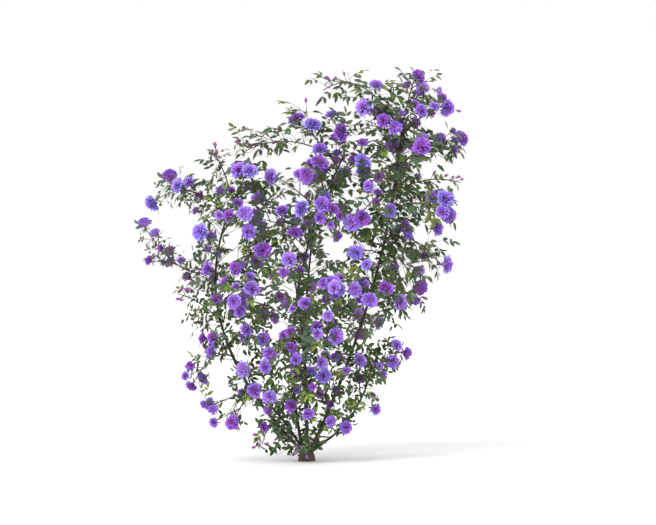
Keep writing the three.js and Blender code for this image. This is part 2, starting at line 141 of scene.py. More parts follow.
# Shoots: node, the cane that carries it, the share of the cane's length, the tip, the arch of the middle
SHOOTS = (
    ("top_shoot", "right", 1.0, (0.478, 0.0, 1.682), 0.010),
    ("top_right_shoot", "right", 0.96, (0.600, -0.050, 1.555), 0.025),
    ("top_arching_shoot", "right", 0.98, (0.075, 0.0, 1.630), 0.105),
    ("top_front_shoot", "right", 0.9, (0.265, -0.090, 1.530), 0.040),
    ("upper_right_shoot", "right", 0.87, (0.660, -0.020, 1.405), 0.035),
    ("upper_right_front_shoot", "right", 0.84, (0.500, -0.170, 1.365), 0.020),
    ("right_bud_shoot", "right", 0.79, (0.680, 0.030, 1.225), 0.035),
    ("right_front_shoot", "right", 0.8, (0.235, -0.205, 1.075), 0.025),
    ("right_shoot", "right", 0.73, (0.605, -0.090, 1.085), 0.045),
    ("right_inner_shoot", "right", 0.6, (0.215, -0.160, 0.905), 0.020),
    ("right_hanging_shoot", "right", 0.65, (0.590, -0.030, 0.865), 0.050),
    ("right_under_shoot", "right", 0.5, (0.395, -0.060, 0.695), 0.035),
    ("right_low_front_shoot", "right", 0.42, (0.215, -0.190, 0.755), 0.030),
    ("back_upper_right_shoot", "right", 0.82, (0.410, 0.250, 1.380), 0.020),
    ("back_right_shoot", "right", 0.62, (0.500, 0.200, 0.770), 0.030),
    ("centre_top_shoot", "centre", 1.0, (0.180, -0.070, 1.440), 0.010),
    ("upper_left_bloom_shoot", "centre", 0.96, (-0.030, -0.030, 1.480), 0.020),
    ("upper_left_arm", "centre", 0.98, (-0.265, 0.010, 1.365), 0.065),
    ("centre_right_shoot", "centre", 0.9, (0.235, -0.120, 1.300), 0.015),
    ("centre_front_shoot", "centre", 0.86, (0.050, -0.190, 1.285), 0.020),
    ("centre_left_shoot", "centre", 0.81, (-0.130, -0.070, 1.245), 0.015),
    ("centre_mid_front_shoot", "centre", 0.76, (0.060, -0.240, 1.115), 0.025),
    ("centre_low_left_shoot", "centre", 0.64, (-0.130, -0.150, 1.070), 0.010),
    ("left_top_shoot", "left", 1.0, (-0.255, -0.050, 1.270), 0.005),
    ("left_top_twig", "left", 0.96, (-0.400, 0.010, 1.345), 0.025),
    ("left_upper_arm", "left", 0.91, (-0.655, -0.020, 1.150), 0.070),
    ("left_front_shoot", "left", 0.84, (-0.260, -0.190, 1.085), 0.020),
    ("left_shoot", "left", 0.78, (-0.450, -0.110, 1.000), 0.015),
    ("left_inner_shoot", "left", 0.68, (-0.195, -0.130, 0.925), 0.015),
    ("left_arm", "left", 0.7, (-0.705, -0.010, 1.025), -0.080),
    ("left_heart_shoot", "left", 0.56, (-0.240, -0.210, 0.755), 0.025),
    ("left_bud_shoot", "left", 0.5, (-0.560, -0.040, 0.735), 0.020),
    ("left_low_front_shoot", "left", 0.4, (-0.235, -0.180, 0.590), 0.025),
    ("left_hanging_shoot", "left", 0.36, (-0.490, -0.040, 0.350), 0.055),
    ("low_left_shoot", "low_left", 1.0, (-0.400, -0.050, 0.250), 0.005),
    ("low_left_arm", "low_left", 0.84, (-0.310, -0.120, 0.180), 0.020),
    ("low_left_upper_shoot", "low_left", 0.78, (-0.265, -0.120, 0.405), 0.015),
    ("foot_left_shoot", "low_left", 0.4, (-0.190, -0.110, 0.080), 0.025),
    ("low_right_shoot", "low_right", 1.0, (0.365, -0.055, 0.440), 0.005),
    ("low_right_upper_shoot", "low_right", 0.7, (0.220, -0.140, 0.440), 0.010),
    ("low_right_front_shoot", "low_right", 0.3, (0.165, -0.150, 0.165), 0.010),
    ("foot_shoot", "low_right", 0.22, (-0.020, -0.140, 0.045), 0.030),
    ("front_top_shoot", "front", 1.0, (-0.070, -0.300, 0.870), 0.005),
    ("front_right_shoot", "front", 0.86, (0.115, -0.265, 0.780), 0.020),
    ("front_low_right_shoot", "front", 0.62, (0.120, -0.270, 0.550), 0.025),
    ("front_low_left_shoot", "front", 0.56, (-0.150, -0.255, 0.490), 0.030),
    ("front_low_shoot", "front", 0.36, (0.075, -0.235, 0.400), 0.020),
    ("front_foot_shoot", "front", 0.3, (-0.150, -0.190, 0.300), 0.020),
    ("back_top_shoot", "back", 1.0, (0.050, 0.250, 1.250), 0.005),
    ("back_left_top_shoot", "back", 0.86, (-0.220, 0.240, 1.070), 0.030),
    ("back_left_low_shoot", "back", 0.48, (-0.280, 0.220, 0.700), 0.040),
    ("back_low_right_shoot", "back", 0.5, (0.230, 0.260, 0.630), 0.030),
)
BARE_SHOOTS = ("top_arching_shoot", "right_bud_shoot", "left_top_twig", "left_bud_shoot")
LEAFY_SHOOTS = ("upper_left_arm", "foot_left_shoot", "foot_shoot")

# The rule of the solids
GOLDEN_ANGLE = math.pi * (3 - math.sqrt(5))
STEM_RADII = (0.0034, 0.0020)
STEM_STEPS = 3
TWIG_STEP = 0.115
TWIG_FIRST = 0.3
TWIG_LAST = 0.92
TWIG_LENGTH = 0.100
TWIG_SIZES = (0.75, 1.25)
TWIG_SPREAD = 0.95
TWIG_TO_LIGHT = 0.3
TWIG_RADII = (0.0023, 0.0016)
LEAF_STEP = 0.025
LEAF_LENGTH = 0.120
LEAF_SIZES = (0.8, 1.2)
LEAF_WIDTH = 0.62
LEAF_FOLD = 0.1
LEAF_ARCH = 0.07
LEAF_SPREAD = 1.1
LEAF_TO_LIGHT = 0.8
LEAF_UPWARD = 0.45
LEAF_BALL = 0.11
LEAF_BALLS = np.array(((-0.55, 0.0), (-0.25, -0.4), (-0.25, 0.4), (0.0, -0.75), (0.0, 0.0), (0.0, 0.75),
                       (0.3, -0.4), (0.3, 0.4), (0.6, 0.0), (0.88, 0.0)))
TWIG_LEAVES = (0.36, 0.74)
BARE_LEAVES = 0.45
BLOOM_DIAMETER = 0.076
BLOOM_DEPTH = 0.58
BLOOM_SUNK = 0.005
BLOOM_SIZES = (0.6, 1.15)
TIP_BLOOM_SIZES = (0.95, 1.15)
BLOOM_TO_LIGHT = 0.9
BLOOM_ALONG_TWIG = 0.5
BLOOM_UPWARD = 0.3
DRAW_TWIG_TURN = 0
DRAW_LEAF_TURN = 1
DRAW_TIP_BLOOM = 2
DRAW_TWIG_REACH = 10
DRAW_TWIG_BLOOM = 30
DRAW_LEAF_LENGTH = 50
DRAW_SEED_STEP = 12.9898
DRAW_INDEX_STEP = 78.233
DRAW_STRETCH = 43758.5453

# Finer growth: how large it is by place, finer near the ground and to the left
LEAF_SIZE = 0.86
LOW_GROWTH = 0.74
LEFT_GROWTH = 0.62
FULL_GROWTH_HEIGHT = (0.20, 1.20)
FULL_GROWTH_LEFT = (-0.60, -0.25)
LOW_BLOOM_SIZE = 0.80

# Sprigs: lengths as shares of the usual one, bows as shares of the length, and the leaves along them
SPRIG_SIZES = (0.6, 1.5)
SPRIG_PLACES = (0.3, 1.0)
CANE_SPRIG_SIZES = (0.5, 3.0)
CANE_SPRIG_FIRST = 0.02
SPRIG_SPREAD = 1.05
SPRIG_TO_LIGHT = 0.35
LOW_SPRIG_TO_LIGHT = 1.1
LOW_SPRIG_HEIGHT = 0.25
SPRIG_BOWS = (-0.08, 0.14)
SPRIG_RADII = (0.0015, 0.0008)
SPRIG_LEAVES = (0.3, 0.97)
SPRIG_LEAF_SIZES = (0.58, 1.0)
LEAST_SPRIG_LEAVES = 2
END_LEAF_SPREAD = 0.4
LEAF_REACH = 0.8
SPRAY_GREEN_SHARE = 0.6

# Reach of the sprays: past the boxes of their solids, in a bowl that widens from the foot, off the ground
SPRAY_MARGIN = 0.030
CANE_SPRAY_MARGIN = 0.040
BACK_SPRAY_MARGIN = 0.130
BOWL_MIDDLE = -0.065
BOWL_FLOOR = 0.012
BOWL_SPREAD = 0.76
BOWL_DEPTH = 0.85
GROUND_GAP = 0.006

# Small blooms at the ends of sprigs, with their gaps as shares of their size
SMALL_BLOOM_SIZES = (0.040, 0.076)
SMALL_BLOOM_OPENINGS = (0.35, 0.95)
SMALL_BLOOM_SHARE = 0.30
SMALL_BLOOM_GAP = 0.7
SMALL_BLOOM_INSET = 0.6
LOWEST_BLOOM = 0.110

# All blooms: how far they lean, and the room that leaflets leave in them and before their faces
BLOOM_SWAY = 0.38
BLOOM_CLEAR_RADIUS = 0.88
BLOOM_FACE_RADIUS = 0.75
BLOOM_VIEW = 0.100

# Leaf cover as seen from the front: a leaf's area over its length squared, the reach of its shade, and the
# cover that is wanted by place
LEAF_SHADE_AREA = 0.092
LEAF_SHADE_REACH = 0.028
LEAF_COVER = 0.80
FOOT_COVER = 0.12
FULL_COVER_HEIGHT = 0.34
RIGHT_COVER = 1.9
RIGHT_COVER_FROM = (0.20, 0.45)
ROOT_COVER = 1.8
ROOT_COVER_REACH = (0.045, 0.080)
CANE_COVER = 1.2
CANE_COVER_REACH = 0.020
CANE_COVER_STEPS = 80
BARE_SPRIG_SHARE = 0.15

# Buds, their places along a twig or along a stem with no bloom, and the pulls on their stalks
BUD_SIZES = (0.010, 0.020)
BUD_STALK_SIZES = (0.025, 0.050)
BUD_PLACES = (0.6, 0.9)
STEM_BUD_PLACES = (0.55, 1.0)
STEM_BUDS = 5
BUD_ALONG = 0.6
BUD_OUTWARD = 0.9
BUD_TO_LIGHT = 0.5
BUD_UPWARD = 0.3

# Seeds of the random draws
BLOOM_SEED = 300
CANE_SEED = 100
SHED_SEED = 7
COLOUR_SEED = 200
PRICKLE_SEED = 11
LEAFLET_SEED = 23
PETAL_SEED = 37
SEPAL_SEED = 41

# Windows of sky between the sprays, seen from the front: middle in X and Z, half width, half height
SKY_WINDOWS = np.array((
    (-0.110, 1.320, 0.100, 0.034),
    (-0.013, 1.368, 0.026, 0.044),
    (0.022, 1.505, 0.026, 0.035),
    (-0.013, 1.200, 0.040, 0.040),
    (-0.154, 1.065, 0.036, 0.036),
    (-0.590, 1.040, 0.120, 0.034),
    (-0.515, 0.981, 0.040, 0.044),
    (-0.612, 0.832, 0.080, 0.031),
    (-0.554, 0.691, 0.040, 0.035),
    (-0.374, 1.012, 0.031, 0.044),
    (-0.299, 1.000, 0.024, 0.034),
    (0.136, 0.955, 0.060, 0.040),
    (0.541, 1.285, 0.036, 0.040),
    (0.565, 1.492, 0.080, 0.036),
    (0.515, 0.992, 0.040, 0.036),
    (0.672, 1.560, 0.045, 0.075),
    (0.425, 0.848, 0.026, 0.034),
    (0.548, 1.700, 0.020, 0.022),
    (0.000, 1.600, 0.030, 0.026),
    (0.520, 0.850, 0.024, 0.040),
    (0.560, 0.740, 0.045, 0.055),
    (0.475, 0.775, 0.025, 0.022),
    (-0.655, 1.050, 0.025, 0.025),
    (-0.370, 0.285, 0.045, 0.028),
    (-0.345, 0.243, 0.032, 0.030),
    (0.345, 0.325, 0.045, 0.030),
    (0.282, 0.669, 0.048, 0.024),
    (-0.062, 0.757, 0.031, 0.031),
    (-0.132, 0.580, 0.031, 0.035),
    (-0.300, 0.480, 0.036, 0.036),
    (0.343, 0.572, 0.031, 0.026),
    (-0.383, 0.378, 0.048, 0.075),
    (-0.246, 0.207, 0.042, 0.036),
    (-0.167, 0.224, 0.026, 0.022),
    (0.447, 1.355, 0.028, 0.030),
    (0.672, 1.100, 0.030, 0.040),
    (0.275, 1.690, 0.040, 0.025),
    (0.545, 1.640, 0.022, 0.024),
    (0.385, 1.345, 0.022, 0.035),
    (0.295, 0.915, 0.035, 0.030),
    (0.110, 0.105, 0.035, 0.028),
    (-0.290, 0.350, 0.026, 0.024),
    (0.030, 0.865, 0.024, 0.050),
    (-0.045, 1.275, 0.022, 0.026),
))

# The windows' edges: bays and bulges round each, their depths, and the bays' turn from window to window
SKY_BAYS = 5
SKY_BAY_DEPTH = 0.22
SKY_BAY_TURN = 3
SKY_BULGES = 3
SKY_BULGE_DEPTH = 0.14

# Greens, dealt out by spray
GREENS = ("dark", "mid", "grey", "olive", "bright")
GREEN_SHARES = (0.31, 0.28, 0.18, 0.17, 0.06)

# Palettes, dealt out by bloom: the outer, middle and heart petals as seen on screen, from 0 to 255
PALETTE_COLOURS = {
    "violet": ((178, 146, 246), (164, 106, 230), (174, 80, 202)),
    "lilac": ((186, 162, 248), (174, 126, 236), (184, 96, 214)),
    "blue": ((172, 160, 250), (152, 120, 236), (152, 84, 212)),
    "deep": ((172, 116, 232), (156, 80, 206), (170, 58, 178)),
    "faded": ((148, 112, 172), (130, 92, 150), (118, 78, 112)),
}
PALETTE_SHARES = (0.42, 0.24, 0.14, 0.20, 0.0)
SMALL_PALETTE_SHARES = (0.38, 0.20, 0.10, 0.24, 0.08)
RANKS = ("outer", "middle", "heart")
RANK_EDGES = (0.40, 0.80)

# Leaves: the lengths at which a leaf gains a pair of leaflets, a leaflet's share of the leaf's length by
# pairs, the leaf stalk as shares of that length, and the leaflets along it
LEAF_PAIR_LENGTHS = (0.075, 0.125)
LEAFLET_SHARES = {1: 0.42, 2: 0.36, 3: 0.30}
LEAF_STALK_REACH = 0.68
LEAF_STALK_DROOP = 0.05
LEAF_STALK_BOW = 0.05
LEAF_STALK_RADII = (0.0008, 0.0005)
LEAFLET_PLACES = (0.42, 0.86)
LONE_PAIR_PLACE = 0.6
LEAFLET_SPREAD = 1.02
LEAFLET_SWAY = 0.16
LEAFLET_ROLL = 1.3
LEAFLET_DROOP = 0.38
LEAFLET_SIZES = (0.82, 1.12)
END_LEAFLET_SIZE = 1.12
LEAFLET_WIDTHS = (0.85, 1.15)
LEAFLET_CURLS = (0.02, 0.22)
LEAFLET_CENTRE = 0.55

# Leaflet blades: rows, the teeth of every other row, powers that shift and fill the sine of the half width,
# its least share, how far the midrib runs on, and the fold of the halves
LEAFLET_ROWS = 8
LEAFLET_TEETH = (0.93, 1.07)
LEAFLET_SHIFT = 0.82
LEAFLET_FILL = 0.85
LEAFLET_LEAST = 0.07
LEAFLET_POINT = 0.05
LEAFLET_FOLD = 0.3

# Petals: rows and columns on full and on smaller blooms, and how the rows crowd to the rim
PETAL_GRID = (5, 5)
SMALL_PETAL_GRID = (4, 5)
PETAL_ROW_SPAN = 0.92
PETAL_ROW_POWER = 1.5

# The dome that the petals' rims share: its sine at the lowest ring, heights as shares of the bloom's
# diameter, the width and the added height of a closed bloom, and its bulges
DOME_LOWEST = -0.45
DOME_MIDDLE = 0.32
DOME_RISE = 0.36
DOME_UNEVEN = 0.022
CLOSED_DOME_WIDTH = 0.75
CLOSED_DOME_RISE = 0.15
DOME_BULGES = (0.08, 0.06)
RIM_REACHES = (0.90, 1.09)

# Each petal, where rank goes from 0 outside to 1 in the heart: turn, foot, curl and half width, then the
# ways in which its edge is shaped
PETAL_TURN_SWAY = 0.16
PETAL_FOOT_RADIUS = 0.05
PETAL_FOOT_HEIGHT = 0.06
PETAL_FOOT_LEAST = 0.3
PETAL_CURL = -1.75
PETAL_CURL_BY_RANK = 0.75
PETAL_CURL_SWAY = 0.22
CLOSED_CURL = 0.35
PETAL_HALF_WIDTH = 0.118
PETAL_HALF_WIDTH_BY_RANK = -0.046
PETAL_WIDTHS = (0.8, 1.15)
PETAL_FOOT_WIDTH = 0.3
PETAL_WIDEST = 0.68
PETAL_END = 0.50
PETAL_ROUNDING = 0.09
PETAL_CUP = 0.15
PETAL_CUP_BY_RANK = 0.45
PETAL_ROLL = 0.14
PETAL_ROLL_BY_RANK = 0.34
RUFFLE_DEPTH = 0.035
RUFFLE_WAVE = 4.6
RUFFLE_SIZES = (0.3, 1.0)
NOTCH_DEPTH = 0.018
NOTCH_SIZES = (0.2, 1.0)

# Closed buds and the urns under buds and blooms: grids, and forms as shares of their size
BUD_GRID = (8, 8)
BUD_RADIUS = 0.42
BUD_SHIFT = 0.75
BUD_FILL = 0.8
BUD_TIP_RADIUS = 0.05
BUD_HEIGHT = 1.25
BUD_FOLD_DEPTH = 0.1
BUD_FOLDS = 2
BUD_FOLD_TWIST = 6
URN_GRID = (5, 6)
URN_RADIUS = 0.5
URN_SINE_START = 0.12
URN_SINE_SPAN = 0.7
URN_LEAST_RADIUS = 0.1
URN_HEIGHT = 1.5
URN_DROP = -1.0
BLOOM_URN = 0.13
BUD_URN = 0.5

# Sepals: count, lengths under blooms and buds, width, and how far they open from upright
SEPALS = 5
SEPAL_RING = 0.003
SEPAL_LENGTH = 0.014
SEPAL_LENGTH_BY_BLOOM = 0.22
BUD_SEPAL_LENGTH = 1.15
SEPAL_SIZES = (0.75, 1.2)
SEPAL_WIDTH = 0.26
SEPAL_OPENING = 0.9
SEPAL_OPENING_BY_BLOOM = 0.9
BUD_SEPAL_OPENING = 0.28
SEPAL_SWAY = 0.25
SEPAL_HANGS = 1
SEPAL_CURLS = (-0.12, 0.25)

# Rings and sides of the tubes
STEM_GRID = (16, 8)
TWIG_GRID = (8, 6)
SPRIG_GRID = (5, 5)
BUD_STALK_GRID = (4, 5)
LEAF_STALK_GRID = (4, 3)

# Shared shader groups: the range of noise that fills out to full contrast, and its scale and detail, then
# the veins of a leaflet, the mask from a petal's painted shade to its painted rim highlight, its streaks, and
# the cracks of the bark
FULL_RANGE = (0.0, 1.0)
FALLING_RANGE = (1.0, 0.0)
NOISE_RANGE = (0.3, 0.7)
MOTTLE_SCALE = 60.0
MOTTLE_DETAIL = 3.0
MIDRIB_EDGE = (0.02, 0.09)
SIDE_VEIN_SLANT = 0.55
SIDE_VEIN_WAVE = 44.0
SIDE_VEIN_EDGE = (0.55, 1.0)
SIDE_VEIN_RANGE = (0.0, 0.5)
RIM_EDGE = (0.55, 0.97)
STREAK_STRETCH = (2.0, 26.0, 1.0)
STREAK_DETAIL = 2.0
CRACK_STRETCH = (150.0, 150.0, 28.0)
CRACK_DETAIL = 4.0
CRACK_EDGE = (0.36, 0.52)
STRETCHED_SCALE = 1.0

# Leaf finish: scale of the mottle, shades of it and of the veins, roughness, and relief as strength and depth
LEAF_MOTTLE = 55.0
LEAF_SHADES = (0.72, 1.25)
VEIN_SHADE = 1.9
VEIN_SHARE = 0.5
UNDERSIDE_SHARE = 0.6
LEAF_ROUGHNESS = (0.46, 0.66)
LEAF_RELIEF = (0.5, 0.0008)
LEAF_SPECULAR = 0.25

# Petal finish: shares of the colour's parts in the painted shade of the creases, and as above
PETAL_PAINTED_SHADE = (0.64, 0.30, 0.48)
HEART_PAINTED_SHADE = (0.86, 0.48, 0.68)
STREAK_SHADE = 1.5
PETAL_MOTTLE = 26.0
PETAL_MOTTLE_SHADE = 0.7
PETAL_MOTTLE_SHARE = 0.22
# Painted highlight at the petals' rims: shares of the outer petals' and the rank's own colour, and how much
# lighter it is
RIM_OUTER_SHARE = 0.6
RIM_OWN_SHARE = 0.4
PAINTED_RIM_HIGHLIGHT = 1.12
PETAL_ROUGHNESS = (0.5, 0.66)
PETAL_RELIEF = (0.15, 0.0004)
PETAL_SHEEN = 0.25

# Bark and rind finishes, as above, with the least roughness of a rind: old wood, young wood and buds, and
# prickles and urns
BARK_MOTTLE = 38.0
BARK_SHADES = (0.7, 1.35)
BARK_ROUGHNESS = (0.75, 0.90)
BARK_RELIEF = (0.6, 0.002)
RIND_MOTTLE = 24.0
RIND_SPECKS = 300.0
SPECK_SHADE = 0.6
SPECK_SHARE = 0.3
RIND_ROUGHNESS = 0.5
YOUNG_ROUGHNESS = 0.45
SMOOTH_ROUGHNESS = 0.4
RIND_ROUGHNESS_SPAN = 0.2
RIND_RELIEF = (0.2, 0.0004)

# Axes, the rise past which a heading counts as steep, and the bend under which a stalk counts as straight
UP = np.array((0.0, 0.0, 1.0))
ACROSS = np.array((1.0, 0.0, 0.0))
STEEP = 0.95
STRAIGHT = 1e-9

# Camera and stage
PHOTO_WIDTH = 2.886
CAMERA_DISTANCE = 10.0
CAMERA_PLACE = (0.097, 0.873)
CAMERA_REACH = 200.0
SENSOR_WIDTH = 36.0
FLOOR_RADIUS = 60.0
FLOOR_SIDES = 96
FLOOR_MOTTLE = 3.0
FLOOR_SHADE = 1.02
FLOOR_ROUGHNESS = 0.9
SKY_STRENGTH = 1.0
SUN_STRENGTH = 2.2
SUN_SOFTNESS = 0.5
SUN_TURN = (48, -22, -18)


def unit(vectors):
    """Vectors divided by their length along the last axis."""
    return vectors / np.linalg.norm(vectors, axis=-1, keepdims=True)


def draw(seed, index):
    """A repeatable number from 0 to 1 for a shoot and one of its draws: the fraction of a large sine."""
    value = math.sin(seed * DRAW_SEED_STEP + index * DRAW_INDEX_STEP) * DRAW_STRETCH
    return value - math.floor(value)


def draw_between(seed, index, limits):
    """A draw stretched between two limits."""
    return limits[0] + (limits[1] - limits[0]) * draw(seed, index)


def square_to(heading, angle):
    """A unit vector square to heading, turned by angle about it from the level one."""
    steep = np.abs(heading[..., 2:]) > STEEP
    level = unit(np.cross(heading, np.where(steep, ACROSS, UP)))
    angle = np.asarray(angle)[..., None]
    return level * np.cos(angle) + np.cross(heading, level) * np.sin(angle)


def to_light(point):
    """The way to the open air at a point: square to the crown's outline, taken as an ellipsoid."""
    return unit((point - CROWN_MIDDLE) / CROWN_HALF ** 2)


def growth(point):
    """How large leaves and sprigs grow at a point: finer to the left and near the ground."""
    up = np.interp(point[2], FULL_GROWTH_HEIGHT, (LOW_GROWTH, 1.0))
    inwards = np.interp(point[0], FULL_GROWTH_LEFT, (LEFT_GROWTH, 1.0))
    return min(up, inwards)


class Stalk:
    """A parabola from start to tip, whose middle stands off the straight line by bow."""

    def __init__(self, start, tip, bow, radii, steps=1):
        self.start = np.asarray(start, float)
        self.tip = np.asarray(tip, float)
        self.bow = np.asarray(bow, float)
        self.radii = radii
        self.steps = steps
        self.chord = self.tip - self.start
        self.length = float(np.linalg.norm(self.chord))

    def point(self, share):
        """start + share of the chord + four times the bow times share times what is left."""
        return self.start + share * self.chord + 4 * share * (1 - share) * self.bow

    def heading(self, share):
        """The parabola's direction at a share of its length."""
        return unit(self.chord + 4 * (1 - 2 * share) * self.bow)

    def middle(self, share):
        """A point on the solid's middle line, which runs straight from ring to ring."""
        ring = min(math.floor(share * self.steps), self.steps - 1)
        part = share * self.steps - ring
        return self.point(ring / self.steps) * (1 - part) + self.point((ring + 1) / self.steps) * part

    def balls(self):
        """Middles and radius of the balls that wrap the solid."""
        count = math.ceil(self.length / BALL_SPACING)
        middles = np.array([self.middle(i / count) for i in range(count + 1)])
        return middles, math.hypot(self.radii[0], BALL_SPACING / 2)


class Room:
    """Balls that wrap what has been placed, so that each shoot keeps to its own space."""

    def __init__(self):
        self.middles = np.zeros((0, 3))
        self.facts = np.zeros((0, 3))

    def is_clear(self, middles, radius, owner):
        """Whether balls are above the ground, clear of others and uncrowded within their own shoot."""
        gaps = np.linalg.norm(middles[:, None] - self.middles, axis=2)
        reach = radius + self.facts[:, 0]
        least = np.where(self.facts[:, 1] == owner, self.facts[:, 2] * reach, reach + ROOM)
        return bool((middles[:, 2] > radius).all() and (gaps >= least).all())

    def take(self, middles, radius, owner, crowding):
        """Keeps balls with their radius, their owner and how far that owner may crowd them."""
        self.middles = np.concatenate((self.middles, middles))
        facts = np.tile((radius, owner, crowding), (len(middles), 1))
        self.facts = np.concatenate((self.facts, facts))


class Bloom:
    """A bloom at a stalk's tip: its foot, the way it faces, its diameter and how far it has opened."""

    def __init__(self, stalk, diameter, opening=1.0):
        self.foot = stalk.tip
        self.diameter = diameter
        self.opening = opening
        self.palette = 0
        self.face(BLOOM_TO_LIGHT * to_light(self.foot) + BLOOM_ALONG_TWIG * stalk.heading(1)
                  + BLOOM_UPWARD * UP)

    def face(self, direction):
        """Turns the bloom on its foot to a direction, and its middle with it."""
        self.facing = unit(direction)
        self.middle = self.foot + self.facing * (self.diameter * BLOOM_DEPTH / 2 - BLOOM_SUNK)


class Leaf:
    """A leaf on a stalk: it leaves the stalk sideways and holds its face to the light."""

    def __init__(self, root, heading, turn, spread, length):
        self.root = root
        self.length = length
        self.sprig = None
        self.along = unit(heading * math.cos(spread) + square_to(heading, turn) * math.sin(spread))
        light = LEAF_TO_LIGHT * to_light(root) + LEAF_UPWARD * UP
        self.side = unit(np.cross(light, self.along))
        self.face = np.cross(self.along, self.side)
        self.green = 0

    def balls(self):
        """Middles and radius of the balls that wrap the leaf's solid, a folded and arched blade."""
        along, across = LEAF_BALLS.T
        rise = LEAF_FOLD * np.abs(across) + LEAF_ARCH * (1 - along ** 2)
        places = np.stack(((along + 1) / 2, LEAF_WIDTH * across / 2, rise), axis=1) * self.length
        return self.root + places @ np.stack((self.along, self.side, self.face)), LEAF_BALL * self.length


class Shoot:
    """One flowering shoot: its stem, and what grows on it."""

    def __init__(self, number, row, canes):
        self.node, cane, share, tip, arch = row
        self.number = number
        self.seed = number + 1
        self.bare = self.node in BARE_SHOOTS
        self.flowers = not self.bare and self.node not in LEAFY_SHOOTS
        self.stem = Stalk(canes[cane].middle(share), tip, arch * UP, STEM_RADII, STEM_STEPS)
        self.twigs = []
        self.blooms = []
        self.leaves = []
        self.sprigs = []
        self.buds = []


def cane_stalks():
    """The canes' lines: each foot stands in the rootstock on a ring."""
    stalks = {}
    for name, (turn, tip, bow, radii) in CANES.items():
        angle = math.radians(turn)
        foot = (CANE_RING * math.cos(angle), CANE_RING * math.sin(angle), CANE_FOOT_HEIGHT)
        stalks[name] = Stalk(foot, tip, bow, radii, CANE_STEPS)
    return stalks


def grow_twig(shoot, index, count):
    """A twig off a shoot's stem: golden angle by golden angle, and a little to the light."""
    share = TWIG_FIRST + (TWIG_LAST - TWIG_FIRST) * (index + 0.5) / count
    root = shoot.stem.middle(share)
    heading = shoot.stem.heading(share)
    turn = GOLDEN_ANGLE * index + 2 * math.pi * draw(shoot.seed, DRAW_TWIG_TURN)
    direction = unit(heading * math.cos(TWIG_SPREAD) + square_to(heading, turn) * math.sin(TWIG_SPREAD)
                     + TWIG_TO_LIGHT * to_light(root))
    reach = TWIG_LENGTH * draw_between(shoot.seed, DRAW_TWIG_REACH + index, TWIG_SIZES)
    return Stalk(root, root + direction * reach, np.zeros(3), TWIG_RADII)


def grow_as_solids(shoots, room):
    """Terminal blooms, then twigs with their blooms, then leaves, each where it finds room."""
    for shoot in shoots:
        size = draw_between(shoot.seed, DRAW_TIP_BLOOM, TIP_BLOOM_SIZES)
        bloom = Bloom(shoot.stem, BLOOM_DIAMETER * size)
        ball = bloom.middle[None], bloom.diameter / 2, shoot.number
        if shoot.flowers and room.is_clear(*ball):
            room.take(*ball, CROWDING)
            shoot.blooms.append(bloom)
    for shoot in shoots:
        count = max(1, math.floor(shoot.stem.length / TWIG_STEP + 0.5)) if shoot.flowers else 0
        for index in range(count):
            twig = grow_twig(shoot, index, count)
            size = draw_between(shoot.seed, DRAW_TWIG_BLOOM + index, BLOOM_SIZES)
            bloom = Bloom(twig, BLOOM_DIAMETER * size)
            ball = bloom.middle[None], bloom.diameter / 2, shoot.number
            if room.is_clear(*twig.balls(), shoot.number) and room.is_clear(*ball):
                room.take(*twig.balls(), shoot.number, 0)
                room.take(*ball, CROWDING)
                shoot.twigs.append(twig)
                shoot.blooms.append(bloom)
    for shoot in shoots:
        count = math.floor(shoot.stem.length / LEAF_STEP * (BARE_LEAVES if shoot.bare else 1))
        places = [(shoot.stem, (i + 1) / (count + 1)) for i in range(count)]
        places += [(twig, share) for twig in shoot.twigs for share in TWIG_LEAVES]
        for index, (stalk, share) in enumerate(places):
            turn = GOLDEN_ANGLE * index + 2 * math.pi * draw(shoot.seed, DRAW_LEAF_TURN)
            length = LEAF_LENGTH * draw_between(shoot.seed, DRAW_LEAF_LENGTH + index, LEAF_SIZES)
            leaf = Leaf(stalk.middle(share), stalk.heading(share), turn, LEAF_SPREAD, length)
            if room.is_clear(*leaf.balls(), shoot.number):
                room.take(*leaf.balls(), shoot.number, CROWDING)
                leaf.root = stalk.point(share)
                shoot.leaves.append(leaf)


def shows_sky(points):
    """Which points lie in a window of sky: ellipses in X and Z whose edges sway by two sines of the turn."""
    offsets = (points[..., None, [0, 2]] - SKY_WINDOWS[:, :2]) / SKY_WINDOWS[:, 2:]
    turn = np.arctan2(offsets[..., 1], offsets[..., 0])
    bays = np.sin(SKY_BAYS * turn + SKY_BAY_TURN * np.arange(len(SKY_WINDOWS)))
    edge = 1 + SKY_BAY_DEPTH * bays + SKY_BULGE_DEPTH * np.sin(SKY_BULGES * turn)
    return (np.linalg.norm(offsets, axis=-1) < edge).any(axis=-1)


def may_grow(points):
    """Which points are in the bowl that the plant rises in, and not in a window of sky.

    The bowl is flatter from front to back, and widens from the foot by the square root of the height.
    """
    out = np.hypot(points[..., 0] - BOWL_MIDDLE, BOWL_DEPTH * points[..., 1])
    in_bowl = out < BOWL_SPREAD * np.sqrt(np.maximum(points[..., 2] - BOWL_FLOOR, 0))
    return in_bowl & ~shows_sky(points)


